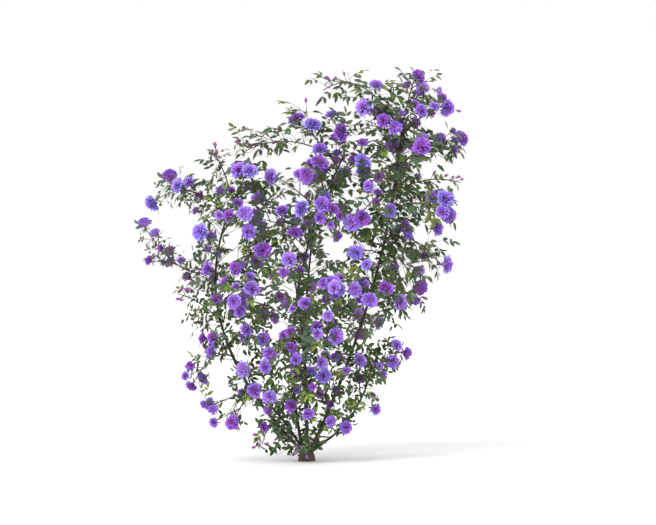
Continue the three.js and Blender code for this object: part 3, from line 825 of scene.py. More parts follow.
class Crown:
    """The shoots with the boxes of their solids, the finer sizes, and the blooms placed so far."""

    def __init__(self, shoots, sizes):
        self.shoots = shoots
        self.sizes = sizes
        boxes = np.array([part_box(shoot.node) for shoot in shoots])
        self.lows = boxes[:, 0]
        self.highs = boxes[:, 1]
        self.low = self.lows.min(axis=0)
        self.high = self.highs.max(axis=0)
        self.middles = np.array([bloom.middle for bloom in all_blooms(shoots)])
        self.radii = np.array([bloom.diameter / 2 for bloom in all_blooms(shoots)])

    def holder(self, point, shoots, margin):
        """The first of some shoots whose box, with a margin, holds a point where something may grow."""
        numbers = np.array([shoot.number for shoot in shoots])
        inside = ((point > self.lows[numbers] - margin) & (point < self.highs[numbers] + margin)).all(axis=1)
        grows = inside.any() and self.holds(point, 0.0) and may_grow(point)
        return self.shoots[numbers[inside][0]] if grows else None

    def holds(self, point, inset):
        """Whether a point lies in the whole crown's box, as far as inset from its sides."""
        return bool((point > self.low + inset).all() and (point < self.high - inset).all())

    def gap(self, point):
        """Distance from a point to the nearest bloom."""
        return (np.linalg.norm(self.middles - point, axis=1) - self.radii).min()

    def add_bloom(self, shoot, bloom):
        """Keeps a bloom with its shoot and among the placed ones."""
        self.middles = np.concatenate((self.middles, bloom.middle[None]))
        self.radii = np.append(self.radii, bloom.diameter / 2)
        shoot.blooms.append(bloom)


def grow_sprig(crown, space, rng, stalk, share, turn, reach):
    """A sprig off a stalk with leaves along it, kept to its space: some shoots' boxes with a margin.

    The further out in the crown its tip is, the more often it ends in a small bloom. All draws come first,
    so a sprig that finds no place doesn't change those after it.
    """
    root = stalk.point(share)
    heading = stalk.heading(share)
    pull = np.interp(root[2], (0, LOW_SPRIG_HEIGHT), (LOW_SPRIG_TO_LIGHT, SPRIG_TO_LIGHT))
    direction = unit(heading * math.cos(SPRIG_SPREAD) + square_to(heading, turn) * math.sin(SPRIG_SPREAD)
                     + pull * to_light(root))
    tip = root + direction * reach
    bow = UP * rng.uniform(*SPRIG_BOWS) * reach
    green = rng.choice(len(GREENS), p=GREEN_SHARES)
    diameter = rng.uniform(*SMALL_BLOOM_SIZES)
    opening = rng.uniform(*SMALL_BLOOM_OPENINGS)
    flowers = rng.uniform() < SMALL_BLOOM_SHARE * np.linalg.norm((tip - CROWN_MIDDLE) / CROWN_HALF)
    count = max(LEAST_SPRIG_LEAVES, round(reach / (crown.sizes.leaf_gap * growth(tip))))
    lengths = LEAF_LENGTH * rng.uniform(*SPRIG_LEAF_SIZES, count) * growth(tip)
    others = rng.choice(len(GREENS), count, p=GREEN_SHARES)
    greens = np.where(rng.uniform(size=count) < SPRAY_GREEN_SHARE, green, others)
    sway = BLOOM_SWAY * rng.normal(size=3)
    owner = crown.holder(tip, *space)
    gap = crown.gap(tip)
    if owner is None or gap < 0:
        return
    sprig = Stalk(root, tip, bow, SPRIG_RADII)
    owner.sprigs.append(sprig)
    bloom = Bloom(sprig, diameter, opening)
    bloom.face(bloom.facing + sway)
    fits = gap > SMALL_BLOOM_GAP * diameter / 2 and crown.holds(tip, SMALL_BLOOM_INSET * diameter)
    stands_well = tip[2] > LOWEST_BLOOM and not shows_sky(bloom.middle)
    if flowers and owner.flowers and fits and stands_well:
        crown.add_bloom(owner, bloom)
    for number, leaf_share in enumerate(np.linspace(*SPRIG_LEAVES, count)):
        spread = LEAF_SPREAD if number < count - 1 else END_LEAF_SPREAD
        leaf_turn = turn + GOLDEN_ANGLE * number
        leaf = Leaf(sprig.point(leaf_share), sprig.heading(leaf_share), leaf_turn, spread, lengths[number])
        leaf.green = greens[number]
        leaf.sprig = sprig
        if crown.holder(leaf.root + leaf.along * leaf.length * LEAF_REACH, *space):
            owner.leaves.append(leaf)


def settle_blooms(shoots):
    """Drops blooms and twigs in the windows of sky, and gives the other blooms their size and lean."""
    for shoot in shoots:
        rng = np.random.default_rng(BLOOM_SEED + shoot.seed)
        shoot.blooms = [bloom for bloom in shoot.blooms if not shows_sky(bloom.middle)]
        shoot.twigs = [twig for twig in shoot.twigs if not shows_sky(twig.tip)]
        for bloom in shoot.blooms:
            bloom.diameter *= np.interp(bloom.foot[2], FULL_GROWTH_HEIGHT, (LOW_BLOOM_SIZE, 1.0))
            bloom.face(bloom.facing + BLOOM_SWAY * rng.normal(size=3))


def grow_shoot_sprigs(crown, shoot, rng):
    """Greens and sizes for a shoot's own leaves, then sprigs off its stem and twigs by the golden angle."""
    sizes = crown.sizes
    for leaf in shoot.leaves:
        leaf.green = rng.choice(len(GREENS), p=GREEN_SHARES)
        leaf.length *= LEAF_SIZE * growth(leaf.root)
    for stalk in (shoot.stem, *shoot.twigs):
        count = max(1, round(stalk.length / sizes.sprig_step * (BARE_LEAVES if shoot.bare else 1)))
        offset = rng.uniform(0, 2 * math.pi)
        for index in range(count):
            share = (index + rng.uniform(*SPRIG_PLACES)) / count
            reach = sizes.sprig_length * rng.uniform(*SPRIG_SIZES) * growth(stalk.point(share))
            turn = GOLDEN_ANGLE * index + offset
            grow_sprig(crown, ([shoot], SPRAY_MARGIN), rng, stalk, share, turn, reach)


def grow_cane_sprigs(crown, stalk, margin, rng):
    """Sprigs off a cane by the golden angle, each with the shoot whose box its tip is in."""
    step = crown.sizes.cane_sprig_step / stalk.length
    for index, share in enumerate(np.arange(CANE_SPRIG_FIRST, 1.0, step)):
        reach = crown.sizes.sprig_length * rng.uniform(*CANE_SPRIG_SIZES)
        grow_sprig(crown, (crown.shoots, margin), rng, stalk, share, GOLDEN_ANGLE * index, reach)


def wanted_cover(places, canes):
    """The leaf cover to keep at some places: it thins to the foot and thickens to the right.

    Bell curves add to it round the rootstock, and before the canes where a place is in front of them.
    """
    front = places[:, [0, 2]]
    fullness = np.interp(places[:, 2], (0, FULL_COVER_HEIGHT), (FOOT_COVER, 1))
    wanted = LEAF_COVER * fullness * np.interp(places[:, 0], RIGHT_COVER_FROM, (1, RIGHT_COVER))
    wanted = wanted + ROOT_COVER * np.exp(-((front / ROOT_COVER_REACH) ** 2).sum(axis=1))
    lines, _, _ = stalk_lines(canes.values(), np.linspace(0, 1, CANE_COVER_STEPS))
    lines = lines.reshape(-1, 3)
    gaps = ((front[:, None] - lines[:, [0, 2]]) ** 2).sum(axis=2)
    before = places[:, 1] < lines[gaps.argmin(axis=1), 1]
    near = np.exp(-gaps.min(axis=1) / CANE_COVER_REACH ** 2)
    return wanted + CANE_COVER * fullness * before * near


def shed_leaves(canes, shoots, rng):
    """Drops leaves at random where they crowd, as seen from the front, and most sprigs left with none.

    Cover at a leaf is the sum of all leaves' areas, each spread over X and Z by a bell curve. A leaf stays
    with a chance of the cover wanted over the cover there.
    """
    leaves = [leaf for shoot in shoots for leaf in shoot.leaves]
    places = np.array([leaf.root + leaf.along * leaf.length / 2 for leaf in leaves])
    front = places[:, [0, 2]]
    areas = LEAF_SHADE_AREA * np.array([leaf.length for leaf in leaves]) ** 2
    gaps = ((front[:, None] - front) ** 2).sum(axis=2) / (2 * LEAF_SHADE_REACH ** 2)
    cover = (areas * np.exp(-gaps)).sum(axis=1) / (2 * np.pi * LEAF_SHADE_REACH ** 2)
    kept = rng.uniform(size=len(leaves)) < wanted_cover(places, canes) / cover
    stays = {id(leaf) for leaf, keep in zip(leaves, kept) if keep}
    for shoot in shoots:
        shoot.leaves = [leaf for leaf in shoot.leaves if id(leaf) in stays]
        ends = {tuple(bloom.foot) for bloom in shoot.blooms}
        leafy = {id(leaf.sprig) for leaf in shoot.leaves}
        shoot.sprigs = [sprig for sprig in shoot.sprigs if id(sprig) in leafy or tuple(sprig.tip) in ends
                        or rng.uniform() < BARE_SPRIG_SHARE]


def grow_buds(crown, shoot, rng):
    """Buds on fine stalks, one off each twig of a shoot that flowers, and a few along one that doesn't."""
    stalks = shoot.twigs if shoot.flowers else [shoot.stem] * STEM_BUDS
    for stalk in stalks:
        share = rng.uniform(*(BUD_PLACES if shoot.flowers else STEM_BUD_PLACES))
        heading = stalk.heading(share)
        root = stalk.point(share)
        square = square_to(heading, rng.uniform(0, 2 * math.pi))
        direction = unit(heading * BUD_ALONG + square * BUD_OUTWARD + to_light(root) * BUD_TO_LIGHT
                         + UP * BUD_UPWARD)
        tip = root + direction * rng.uniform(*BUD_STALK_SIZES)
        size = rng.uniform(*BUD_SIZES)
        if crown.gap(tip) > size / 2:
            shoot.buds.append((Stalk(root, tip, np.zeros(3), SPRIG_RADII), size))


def grow_finer(canes, shoots, sizes):
    """The finer growth: sprigs off stems, twigs and canes, leaves shed, palettes dealt out, then buds."""
    settle_blooms(shoots)
    crown = Crown(shoots, sizes)
    for shoot in shoots:
        grow_shoot_sprigs(crown, shoot, np.random.default_rng(shoot.seed))
    for number, (name, stalk) in enumerate(canes.items()):
        margin = BACK_SPRAY_MARGIN if name == "back" else CANE_SPRAY_MARGIN
        grow_cane_sprigs(crown, stalk, margin, np.random.default_rng(CANE_SEED + number))
    shed_leaves(canes, shoots, np.random.default_rng(SHED_SEED))
    for shoot in shoots:
        rng = np.random.default_rng(COLOUR_SEED + shoot.seed)
        for bloom in shoot.blooms:
            shares = PALETTE_SHARES if bloom.opening == 1 else SMALL_PALETTE_SHARES
            bloom.palette = rng.choice(len(PALETTE_COLOURS), p=shares)
        grow_buds(crown, shoot, rng)


@functools.cache
def plant():
    """The canes and shoots, grown once by the rule of the solids and then by the finer one."""
    room = Room()
    canes = cane_stalks()
    for number, stalk in enumerate(canes.values()):
        room.take(*stalk.balls(), -1 - number, 0)
    shoots = [Shoot(number, row, canes) for number, row in enumerate(SHOOTS)]
    for shoot in shoots:
        room.take(*shoot.stem.balls(), shoot.number, 0)
    grow_as_solids(shoots, room)
    grow_finer(canes, shoots, bpy.context.scene.rose_sizes)
    return canes, shoots


def all_blooms(shoots):
    """Every shoot's blooms in one row."""
    return [bloom for shoot in shoots for bloom in shoot.blooms]


def nodes_of(shoots):
    """The CAD nodes of some shoots."""
    return sorted({shoot.node for shoot in shoots})


def leaf_pairs(leaf):
    """Pairs of leaflets on a leaf: more on a longer one."""
    return 1 + int(np.digitize(leaf.length, LEAF_PAIR_LENGTHS))


def off_blooms(points, blooms):
    """Which points lie neither in a bloom nor just in front of its face."""
    radius = np.array([bloom.diameter for bloom in blooms]) / 2
    offset = points[:, None] - np.array([bloom.middle for bloom in blooms])
    ahead = np.einsum("pbk,bk->pb", offset, np.array([bloom.facing for bloom in blooms]))
    across = np.sqrt(np.maximum((offset ** 2).sum(axis=2) - ahead ** 2, 0))
    inside = np.hypot(ahead, across) < BLOOM_CLEAR_RADIUS * radius
    in_front = (ahead > 0) & (ahead < BLOOM_VIEW) & (across < BLOOM_FACE_RADIUS * radius)
    return ~(inside | in_front).any(axis=1)


class Surface(typing.NamedTuple):
    """A mesh to be: points, the corner numbers of its quads and triangles, and each point's UV place."""

    points: np.ndarray
    quads: np.ndarray
    triangles: np.ndarray
    pattern: np.ndarray


def repeated(points, quads, triangles, pattern):
    """Many surfaces on one grid as one, the grid's corner numbers shifted for each."""
    count, size = points.shape[:2]
    shift = np.arange(count)[:, None, None] * size
    return Surface(points.reshape(-1, 3), (quads + shift).reshape(-1, 4), (triangles + shift).reshape(-1, 3),
                   np.tile(pattern, (count, 1)))


def joined(surfaces):
    """Several surfaces as one, their corner numbers shifted past the points before them."""
    starts = np.cumsum([0] + [len(surface.points) for surface in surfaces])
    return Surface(np.concatenate([surface.points for surface in surfaces]),
                   np.concatenate([surface.quads + start for surface, start in zip(surfaces, starts)]),
                   np.concatenate([surface.triangles + start for surface, start in zip(surfaces, starts)]),
                   np.concatenate([surface.pattern for surface in surfaces]))


def sheets(points, u, v):
    """Open sheets from a grid of rows and columns each, with u along and v from -1 to 1 across as pattern."""
    count, rows, columns = points.shape[:3]
    first = (np.arange(rows - 1)[:, None] * columns + np.arange(columns - 1)).reshape(-1, 1)
    quads = first + np.array((0, columns, columns + 1, 1))
    pattern = np.stack(np.broadcast_arrays(u, (v + 1) / 2), axis=-1).reshape(-1, 2)
    return repeated(points.reshape(count, -1, 3), quads, np.zeros((0, 3), int), pattern)


def closed_tubes(points):
    """Tubes from a grid of rings and sides each, facing outwards, with a fan of triangles over each end."""
    count, rings, sides = points.shape[:3]
    ring = np.arange(rings - 1)[:, None] * sides
    side = np.arange(sides)
    after = (side + 1) % sides
    quads = np.stack((ring + side, ring + after, ring + sides + after, ring + sides + side), axis=2)
    fan = np.stack((np.zeros(sides - 2, int), np.arange(1, sides - 1), np.arange(2, sides)), axis=1)
    ends = np.concatenate((fan[:, ::-1], fan + (rings - 1) * sides))
    return repeated(points.reshape(count, -1, 3), quads.reshape(-1, 4), ends, np.zeros((rings * sides, 2)))


def around(sides):
    """Even angles round an axis, the first not repeated."""
    return np.linspace(0, 2 * np.pi, sides, endpoint=False)


def stalk_lines(stalks, shares):
    """Points, headings and plane of many stalks at the same shares of their length."""
    start = np.array([stalk.start for stalk in stalks])[:, None]
    chord = np.array([stalk.chord for stalk in stalks])[:, None]
    bow = np.array([stalk.bow for stalk in stalks])[:, None]
    share = np.asarray(shares)[None, :, None]
    points = start + share * chord + 4 * share * (1 - share) * bow
    headings = unit(chord + 4 * (1 - 2 * share) * bow)
    plane = np.cross(chord, bow)
    flat = np.linalg.norm(plane, axis=2, keepdims=True) < STRAIGHT
    plane = unit(np.where(flat, square_to(unit(chord), 0.0), plane))
    return points, headings, plane


def tubes(points, headings, plane, radii, sides):
    """Circles of the given radii carried along lines that lie in one plane each, closed at both ends.

    radii has one value for each ring, or for each ring and side where the surface has relief.
    """
    count, rings = points.shape[:2]
    angle = around(sides)[None, None, :, None]
    side = np.cross(headings, np.broadcast_to(plane, headings.shape))
    ring = np.cos(angle) * plane[:, :, None] + np.sin(angle) * side[:, :, None]
    return closed_tubes(points[:, :, None] + radii.reshape(count, rings, -1, 1) * ring)


def tapered_tubes(stalks, rings, sides):
    """Tubes along stalks, whose radius goes evenly from foot to tip."""
    shares = np.linspace(0, 1, rings)
    radii = np.array([stalk.radii for stalk in stalks])
    taper = radii[:, :1] * (1 - shares) + radii[:, 1:] * shares
    return tubes(*stalk_lines(stalks, shares), taper, sides)


def rootstock_surface():
    """A lathe-turned side with three lobes, over height and turn.

    A moving mean rounds off the bends of the profile. Furrows are the size of a sine that wanders as it runs
    up the side, knots are a product of two sines, and both fade out to the narrow peak.
    """
    share = np.linspace(0, 1, BARK_ROWS)[:, None]
    turn = around(BARK_SIDES)[None, :]
    radius, height = np.array(ROOTSTOCK_PROFILE).T
    bends = np.linspace(0, 1, len(radius))
    span = 2 * BARK_ROUNDING_ROWS
    sharp = np.interp(np.linspace(-BARK_OVERRUN, 1 + BARK_OVERRUN, BARK_ROWS + span), bends, radius)
    out = np.convolve(sharp, np.full(span + 1, 1 / (span + 1)), "valid")[:, None]
    up = np.interp(share, bends, height)
    wander = FURROW_SWAY * np.sin(FURROW_SWAYS * turn)
    furrow = FURROW_DEPTH * np.abs(np.sin(FURROWS * turn + wander + FURROW_TWIST * up))
    knots = KNOT_DEPTH * np.sin(KNOTS_AROUND[0] * turn + KNOTS_UP[0] * up)
    knots = knots * np.sin(KNOTS_AROUND[1] * turn + KNOTS_UP[1] * up)
    fade = np.clip(out / BARK_FADE_RADIUS, 0, 1)
    swell = 1 + ROOTSTOCK_LOBE_DEPTH * np.cos(ROOTSTOCK_LOBES * turn) - fade * furrow + fade * knots
    out = np.maximum(out, BARK_PEAK_RADIUS) * swell
    return closed_tubes(np.stack((out * np.cos(turn), out * np.sin(turn), up + 0 * turn), axis=2)[None])


def cane_surface(stalk, seed):
    """A tapering tube along a cane, over the distance along it and turn.

    Five low ridges wind round it as a cosine, a bell curve swells each joint, and a product of two sines
    makes the rind finely uneven.
    """
    rings = RIND_RINGS_PER_STEP * math.ceil(stalk.length / RIND_STEP)
    share = np.linspace(0, 1, rings)
    turn = around(RIND_SIDES)[None, :]
    along = share[:, None] * stalk.length
    taper = stalk.radii[0] * (1 - share) + stalk.radii[1] * share
    joints = np.arange(JOINT_FIRST, stalk.length, JOINT_GAP)
    joints = joints + JOINT_SHIFT * np.sin(seed + joints * JOINT_SHIFT_WAVE)
    swelling = JOINT_SWELLING * np.exp(-((along - joints) / JOINT_REACH) ** 2).sum(axis=1, keepdims=True)
    ridges = RIDGE_DEPTH * np.cos(RIDGES * turn + RIDGE_TWIST * along + seed)
    rind = RIND_DEPTH * np.sin(RIND_AROUND[0] * turn + RIND_ALONG[0] * along + seed)
    rind = rind * np.sin(RIND_AROUND[1] * turn + RIND_ALONG[1] * along)
    radii = taper[:, None] * (1 + swelling + ridges + rind)
    return tubes(*stalk_lines([stalk], share), radii[None], RIND_SIDES)


def prickle_surfaces(roots, outward, heading, lengths):
    """Cones that hook back down the stalk: the middle line bends by the square of the way to the tip."""
    step = PRICKLE_RINGS[None, :, None]
    size = lengths[:, None, None]
    points = roots[:, None] + size * (outward[:, None] * step - PRICKLE_HOOK * heading[:, None] * step ** 2)
    direction = unit(outward[:, None] - 2 * PRICKLE_HOOK * heading[:, None] * step)
    plane = unit(np.cross(heading, outward))[:, None]
    taper = np.maximum(PRICKLE_RADIUS * (1 - PRICKLE_RINGS) ** PRICKLE_FLARE, PRICKLE_TIP)
    return tubes(points, direction, plane, lengths[:, None] * taper, PRICKLE_SIDES)


def leaflet_surfaces(root, along, across, face, length, width, curl):
    """Toothed elliptic blades over u along and v across.

    Half width is a sine of u that peaks below the middle, times a tooth on every other row. The halves
    fold up from the midrib, the midrib runs on to a point, and the blade curls down by the square of u.
    """
    u = np.linspace(0, 1, LEAFLET_ROWS)[:, None]
    v = np.array((-1.0, 0.0, 1.0))
    tooth = np.take(LEAFLET_TEETH, np.arange(LEAFLET_ROWS) % 2)[:, None]
    outline = np.maximum(np.sin(np.pi * u ** LEAFLET_SHIFT) ** LEAFLET_FILL, LEAFLET_LEAST)
    half = 0.5 * width[:, None, None] * outline * tooth
    forward = length[:, None, None] * (u + LEAFLET_POINT * (1 - np.abs(v)) * u)
    rise = LEAFLET_FOLD * half * np.abs(v) - curl[:, None, None] * length[:, None, None] * u ** 2
    points = (root[:, None, None] + forward[..., None] * along[:, None, None]
              + (half * v)[..., None] * across[:, None, None] + rise[..., None] * face[:, None, None])
    return sheets(points, u, v)


def turned_blades(along, face, rng):
    """Blade axes after each leaflet has hung down a little and rolled at random about its length."""
    sway = LEAFLET_SWAY * rng.normal(size=along.shape)
    along = unit(along + sway - LEAFLET_DROOP * rng.uniform(0, 1, (len(along), 1)) * UP)
    face = unit(face + LEAFLET_ROLL * LEAFLET_SWAY * rng.normal(size=along.shape))
    across = unit(np.cross(face, along))
    return along, across, np.cross(along, across)


def pinnate_leaves(leaves, pairs, leaflet_width, rng):
    """Leaflets in opposite pairs along an arched leaf stalk, with one more at its end.

    The result is the leaflets' root, along, across, face, length, width and curl, and the leaf stalks.
    """
    root = np.array([leaf.root for leaf in leaves])
    along = np.array([leaf.along for leaf in leaves])
    side = np.array([leaf.side for leaf in leaves])
    face = np.array([leaf.face for leaf in leaves])
    length = np.array([leaf.length for leaf in leaves])
    tip = root + LEAF_STALK_REACH * length[:, None] * along - LEAF_STALK_DROOP * length[:, None] * UP
    bow = LEAF_STALK_BOW * length[:, None] * face
    stalks = [Stalk(*line, LEAF_STALK_RADII) for line in zip(root, tip, bow)]
    places = np.linspace(*LEAFLET_PLACES, pairs) if pairs > 1 else np.array((LONE_PAIR_PLACE,))
    points, headings, _ = stalk_lines(stalks, np.append(places, 1.0))
    blades = []
    for place in range(pairs + 1):
        ways = (0,) if place == pairs else (-1, 1)
        for way in ways:
            spread = LEAFLET_SPREAD * way
            direction = unit(headings[:, place] * math.cos(spread) + side * math.sin(spread))
            axes = turned_blades(direction, face, rng)
            share = LEAFLET_SHARES[pairs] * (END_LEAFLET_SIZE if way == 0 else 1)
            size = share * length * rng.uniform(*LEAFLET_SIZES, len(leaves))
            width = size * leaflet_width * rng.uniform(*LEAFLET_WIDTHS, len(leaves))
            curl = rng.uniform(*LEAFLET_CURLS, len(leaves))
            blades.append((points[:, place], *axes, size, width, curl))
    return [np.concatenate(column) for column in zip(*blades)], stalks


def petal_ranks(count):
    """Each petal's rank, from 0 for the outermost to 1 in the heart."""
    return (np.arange(count) + 0.5) / count


def petal_rims(size, opening, rank, turn, rng):
    """Radius and height of each petal's rim, on a dome that all rims share evenly by height.

    The dome reaches below its widest ring, and bulges by two sines of the turn. It is narrower and taller on
    a bloom that is still opening.
    """
    shape = np.broadcast_shapes(size.shape, rank.shape)
    phases = rng.uniform(0, 2 * np.pi, (2, len(size), 1, 1, 1))
    bulges = (DOME_BULGES[0] * np.sin(2 * turn + phases[0]), DOME_BULGES[1] * np.sin(3 * turn + phases[1]))
    lowest = DOME_LOWEST * opening
    sine = lowest + (1 - lowest) * rank
    reach = rng.uniform(*RIM_REACHES, shape) * (1 + bulges[0] + bulges[1])
    width = CLOSED_DOME_WIDTH + (1 - CLOSED_DOME_WIDTH) * opening
    out = 0.5 * size * width * np.sqrt(1 - sine ** 2) * reach
    middle = DOME_MIDDLE + CLOSED_DOME_RISE * (1 - opening)
    return out, size * (middle + DOME_RISE * sine + rng.normal(0, DOME_UNEVEN, shape))


def petal_points(blooms, count, grid, rng):
    """Petals of many rosettes over u from foot to rim and v across, for each bloom and petal.

    Petals follow one another by the golden angle from the outside in. Each one's middle line is an arc from
    the bloom's foot to its rim that bends outwards, less on a bloom that is still opening. Half width swells
    to two thirds of the length and rounds off, and so does the rim, by the square of v. The edges cup by the
    square of v, and the rim is ruffled by a sine and notched.
    """
    number = len(blooms)
    shape = (number, count, 1, 1)
    size = np.array([bloom.diameter for bloom in blooms]).reshape(-1, 1, 1, 1)
    opening = np.array([bloom.opening for bloom in blooms]).reshape(-1, 1, 1, 1)
    rank = petal_ranks(count).reshape(1, -1, 1, 1)
    u = (1 - PETAL_ROW_SPAN * (1 - np.linspace(0, 1, grid[0])) ** PETAL_ROW_POWER)[:, None]
    v = np.linspace(-1, 1, grid[1])
    turn = GOLDEN_ANGLE * np.arange(count).reshape(1, -1, 1, 1) + rng.uniform(0, 2 * np.pi, (number, 1, 1, 1))
    turn = turn + rng.normal(0, PETAL_TURN_SWAY, shape)
    out, up = petal_rims(size, opening, rank, turn, rng)
    foot_out = PETAL_FOOT_RADIUS * size * (1 - rank)
    foot_up = PETAL_FOOT_HEIGHT * size * (PETAL_FOOT_LEAST + rank)
    chord = np.hypot(out - foot_out, up - foot_up)
    slope = np.arctan2(up - foot_up, out - foot_out)
    curl = (PETAL_CURL + PETAL_CURL_BY_RANK * rank) * (CLOSED_CURL + (1 - CLOSED_CURL) * opening)
    curl = curl + rng.normal(0, PETAL_CURL_SWAY, shape)
    along = u * (1 - PETAL_ROUNDING * u ** 2 * v ** 2)
    bend = slope - curl / 2 + curl * along / 2
    tangent = slope - curl / 2 + curl * along
    forward = chord * along * np.cos(bend)
    rise = chord * along * np.sin(bend)
    swell = PETAL_FOOT_WIDTH + (1 - PETAL_FOOT_WIDTH) * np.sin(np.pi / 2 * np.clip(u / PETAL_WIDEST, 0, 1))
    rounding = np.sqrt(1 - (np.clip(u - PETAL_WIDEST, 0, 1) / PETAL_END) ** 2)
    half = size * (PETAL_HALF_WIDTH + PETAL_HALF_WIDTH_BY_RANK * rank) * swell * rounding
    half = half * rng.uniform(*PETAL_WIDTHS, shape)
    cup = (PETAL_CUP + PETAL_CUP_BY_RANK * rank) * half * v ** 2
    wave = np.sin(RUFFLE_WAVE * v + rng.uniform(0, 2 * np.pi, shape))
    ruffle = RUFFLE_DEPTH * size * u ** 3 * wave * rng.uniform(*RUFFLE_SIZES, shape)
    notch = NOTCH_DEPTH * size * u ** 4 * (1 - np.abs(v)) * rng.uniform(*NOTCH_SIZES, shape)
    roll = rng.normal(0, 1, shape) * (PETAL_ROLL + PETAL_ROLL_BY_RANK * rank)
    sideways = half * v * np.cos(roll)
    lift = cup + ruffle + half * v * np.sin(roll)
    radial = foot_out + forward - lift * np.sin(tangent) - notch * np.cos(tangent)
    height = foot_up + rise + lift * np.cos(tangent) - notch * np.sin(tangent)
    place = np.stack((radial * np.cos(turn) - sideways * np.sin(turn),
                      radial * np.sin(turn) + sideways * np.cos(turn),
                      np.broadcast_to(height, sideways.shape)), axis=-1)
    foot = np.array([bloom.foot for bloom in blooms])
    axes = facing_axes(np.array([bloom.facing for bloom in blooms]))
    return np.einsum("bpuvk,bkd->bpuvd", place, axes) + foot[:, None, None, None], u, v


def facing_axes(facing):
    """Two axes square to each facing, and the facing itself."""
    first = square_to(facing, 0.0)
    return np.stack((first, np.cross(facing, first), facing), axis=1)


def turned_forms(foot, facing, size, radius, height):
    """One lathe-turned form at each foot, on the way that it faces, from a radius by height and turn."""
    turn = around(radius.shape[1])
    place = np.stack(np.broadcast_arrays(radius * np.cos(turn), radius * np.sin(turn), height), axis=-1)
    points = np.einsum("hak,bkd->bhad", place, facing_axes(facing))
    return closed_tubes(points * size[:, None, None, None] + foot[:, None, None])


def bud_surfaces(foot, facing, size):
    """Pointed buds over height and turn.

    The radius is a power of a sine that peaks below the middle, times a sine that winds two soft folds up it.
    """
    rows, sides = BUD_GRID
    height = np.linspace(0, 1, rows)[:, None]
    profile = np.maximum(np.sin(np.pi * height ** BUD_SHIFT) ** BUD_FILL * BUD_RADIUS, BUD_TIP_RADIUS)
    radius = profile * (1 + BUD_FOLD_DEPTH * np.sin(BUD_FOLDS * around(sides) + BUD_FOLD_TWIST * height))
    return turned_forms(foot, facing, size, radius, BUD_HEIGHT * height)


def urn_surfaces(foot, facing, size):
    """The green urn under each bloom: a stretch of a sine turned on the bloom's axis, just below its foot."""
    rows, sides = URN_GRID
    height = np.linspace(0, 1, rows)[:, None]
    sine = np.sin(np.pi * (URN_SINE_START + URN_SINE_SPAN * height))
    profile = np.maximum(URN_RADIUS * sine, URN_LEAST_RADIUS)
    return turned_forms(foot, facing, size, np.repeat(profile, sides, axis=1), URN_HEIGHT * height + URN_DROP)


def sepal_surfaces(foot, facing, size, opening, rng):
    """Narrow pointed blades round each foot, from upright on a bud to hanging under a bloom."""
    out = np.stack([square_to(facing, np.full(len(facing), turn)) for turn in around(SEPALS)], axis=1)
    angle = (opening[:, None] + rng.normal(0, SEPAL_SWAY, (len(foot), SEPALS)))[..., None]
    along = (facing[:, None] * np.cos(angle) + out * np.sin(angle)).reshape(-1, 3)
    face = (facing[:, None] * np.sin(angle) - out * np.cos(angle)).reshape(-1, 3)
    across = unit(np.cross(face, along))
    root = np.repeat(foot, SEPALS, axis=0) + SEPAL_RING * out.reshape(-1, 3)
    length = np.repeat(size, SEPALS) * rng.uniform(*SEPAL_SIZES, len(root))
    curl = np.repeat(np.take(SEPAL_CURLS, (opening > SEPAL_HANGS).astype(int)), SEPALS)
    return leaflet_surfaces(root, along, across, np.cross(along, across), length, SEPAL_WIDTH * length, curl)


def make_piece(name, surface, material, nodes):
    """A smooth mesh object from a surface, riding on the plant's one body in place of its nodes."""
    mesh = bpy.data.meshes.new(name)
    corners = np.concatenate((surface.quads.ravel(), surface.triangles.ravel())).astype(np.int32)
    quad_starts = np.arange(len(surface.quads)) * 4
    triangle_starts = len(surface.quads) * 4 + np.arange(len(surface.triangles)) * 3
    starts = np.concatenate((quad_starts, triangle_starts)).astype(np.int32)
    mesh.vertices.add(len(surface.points))
    mesh.vertices.foreach_set("co", surface.points.astype(np.float32).ravel())
    mesh.loops.add(len(corners))
    mesh.loops.foreach_set("vertex_index", corners)
    mesh.polygons.add(len(starts))
    mesh.polygons.foreach_set("loop_start", starts)
    mesh.polygons.foreach_set("use_smooth", np.ones(len(starts), bool))
    pattern = mesh.uv_layers.new(name="pattern")
    pattern.data.foreach_set("uv", surface.pattern[corners].astype(np.float32).ravel())
    mesh.update(calc_edges=True)
    mesh.validate()
    mesh.materials.append(material)
    piece = bpy.data.objects.new(name, mesh)
    bpy.context.scene.collection.objects.link(piece)
    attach(piece, "root")
    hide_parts(*nodes)
    return piece


def stalk_places(stalk, first, last, gap):
    """A stalk with each of the shares of its length at even gaps."""
    return [(stalk, share) for share in np.arange(first, last, gap / stalk.length)]


def grown_prickles(canes, shoots, rng):
    """Prickles turned at random round the canes and stems, longer on a thicker stalk."""
    places = [place for stalk in canes.values() for place in stalk_places(stalk, *CANE_PRICKLES)]
    places += [place for shoot in shoots for place in stalk_places(shoot.stem, *STEM_PRICKLES)]
    heading = np.array([stalk.heading(share) for stalk, share in places])
    outward = square_to(heading, rng.uniform(0, 2 * np.pi, len(places)))
    radius = np.array([stalk.radii[0] * (1 - share) + stalk.radii[1] * share for stalk, share in places])
    middle = np.array([stalk.point(share) for stalk, share in places])
    lengths = np.clip(radius * PRICKLE_LENGTH, *PRICKLE_LENGTH_LIMITS)
    lengths = lengths * rng.uniform(*PRICKLE_SIZES, len(places))
    return prickle_surfaces(middle + PRICKLE_SUNK * radius[:, None] * outward, outward, heading, lengths)


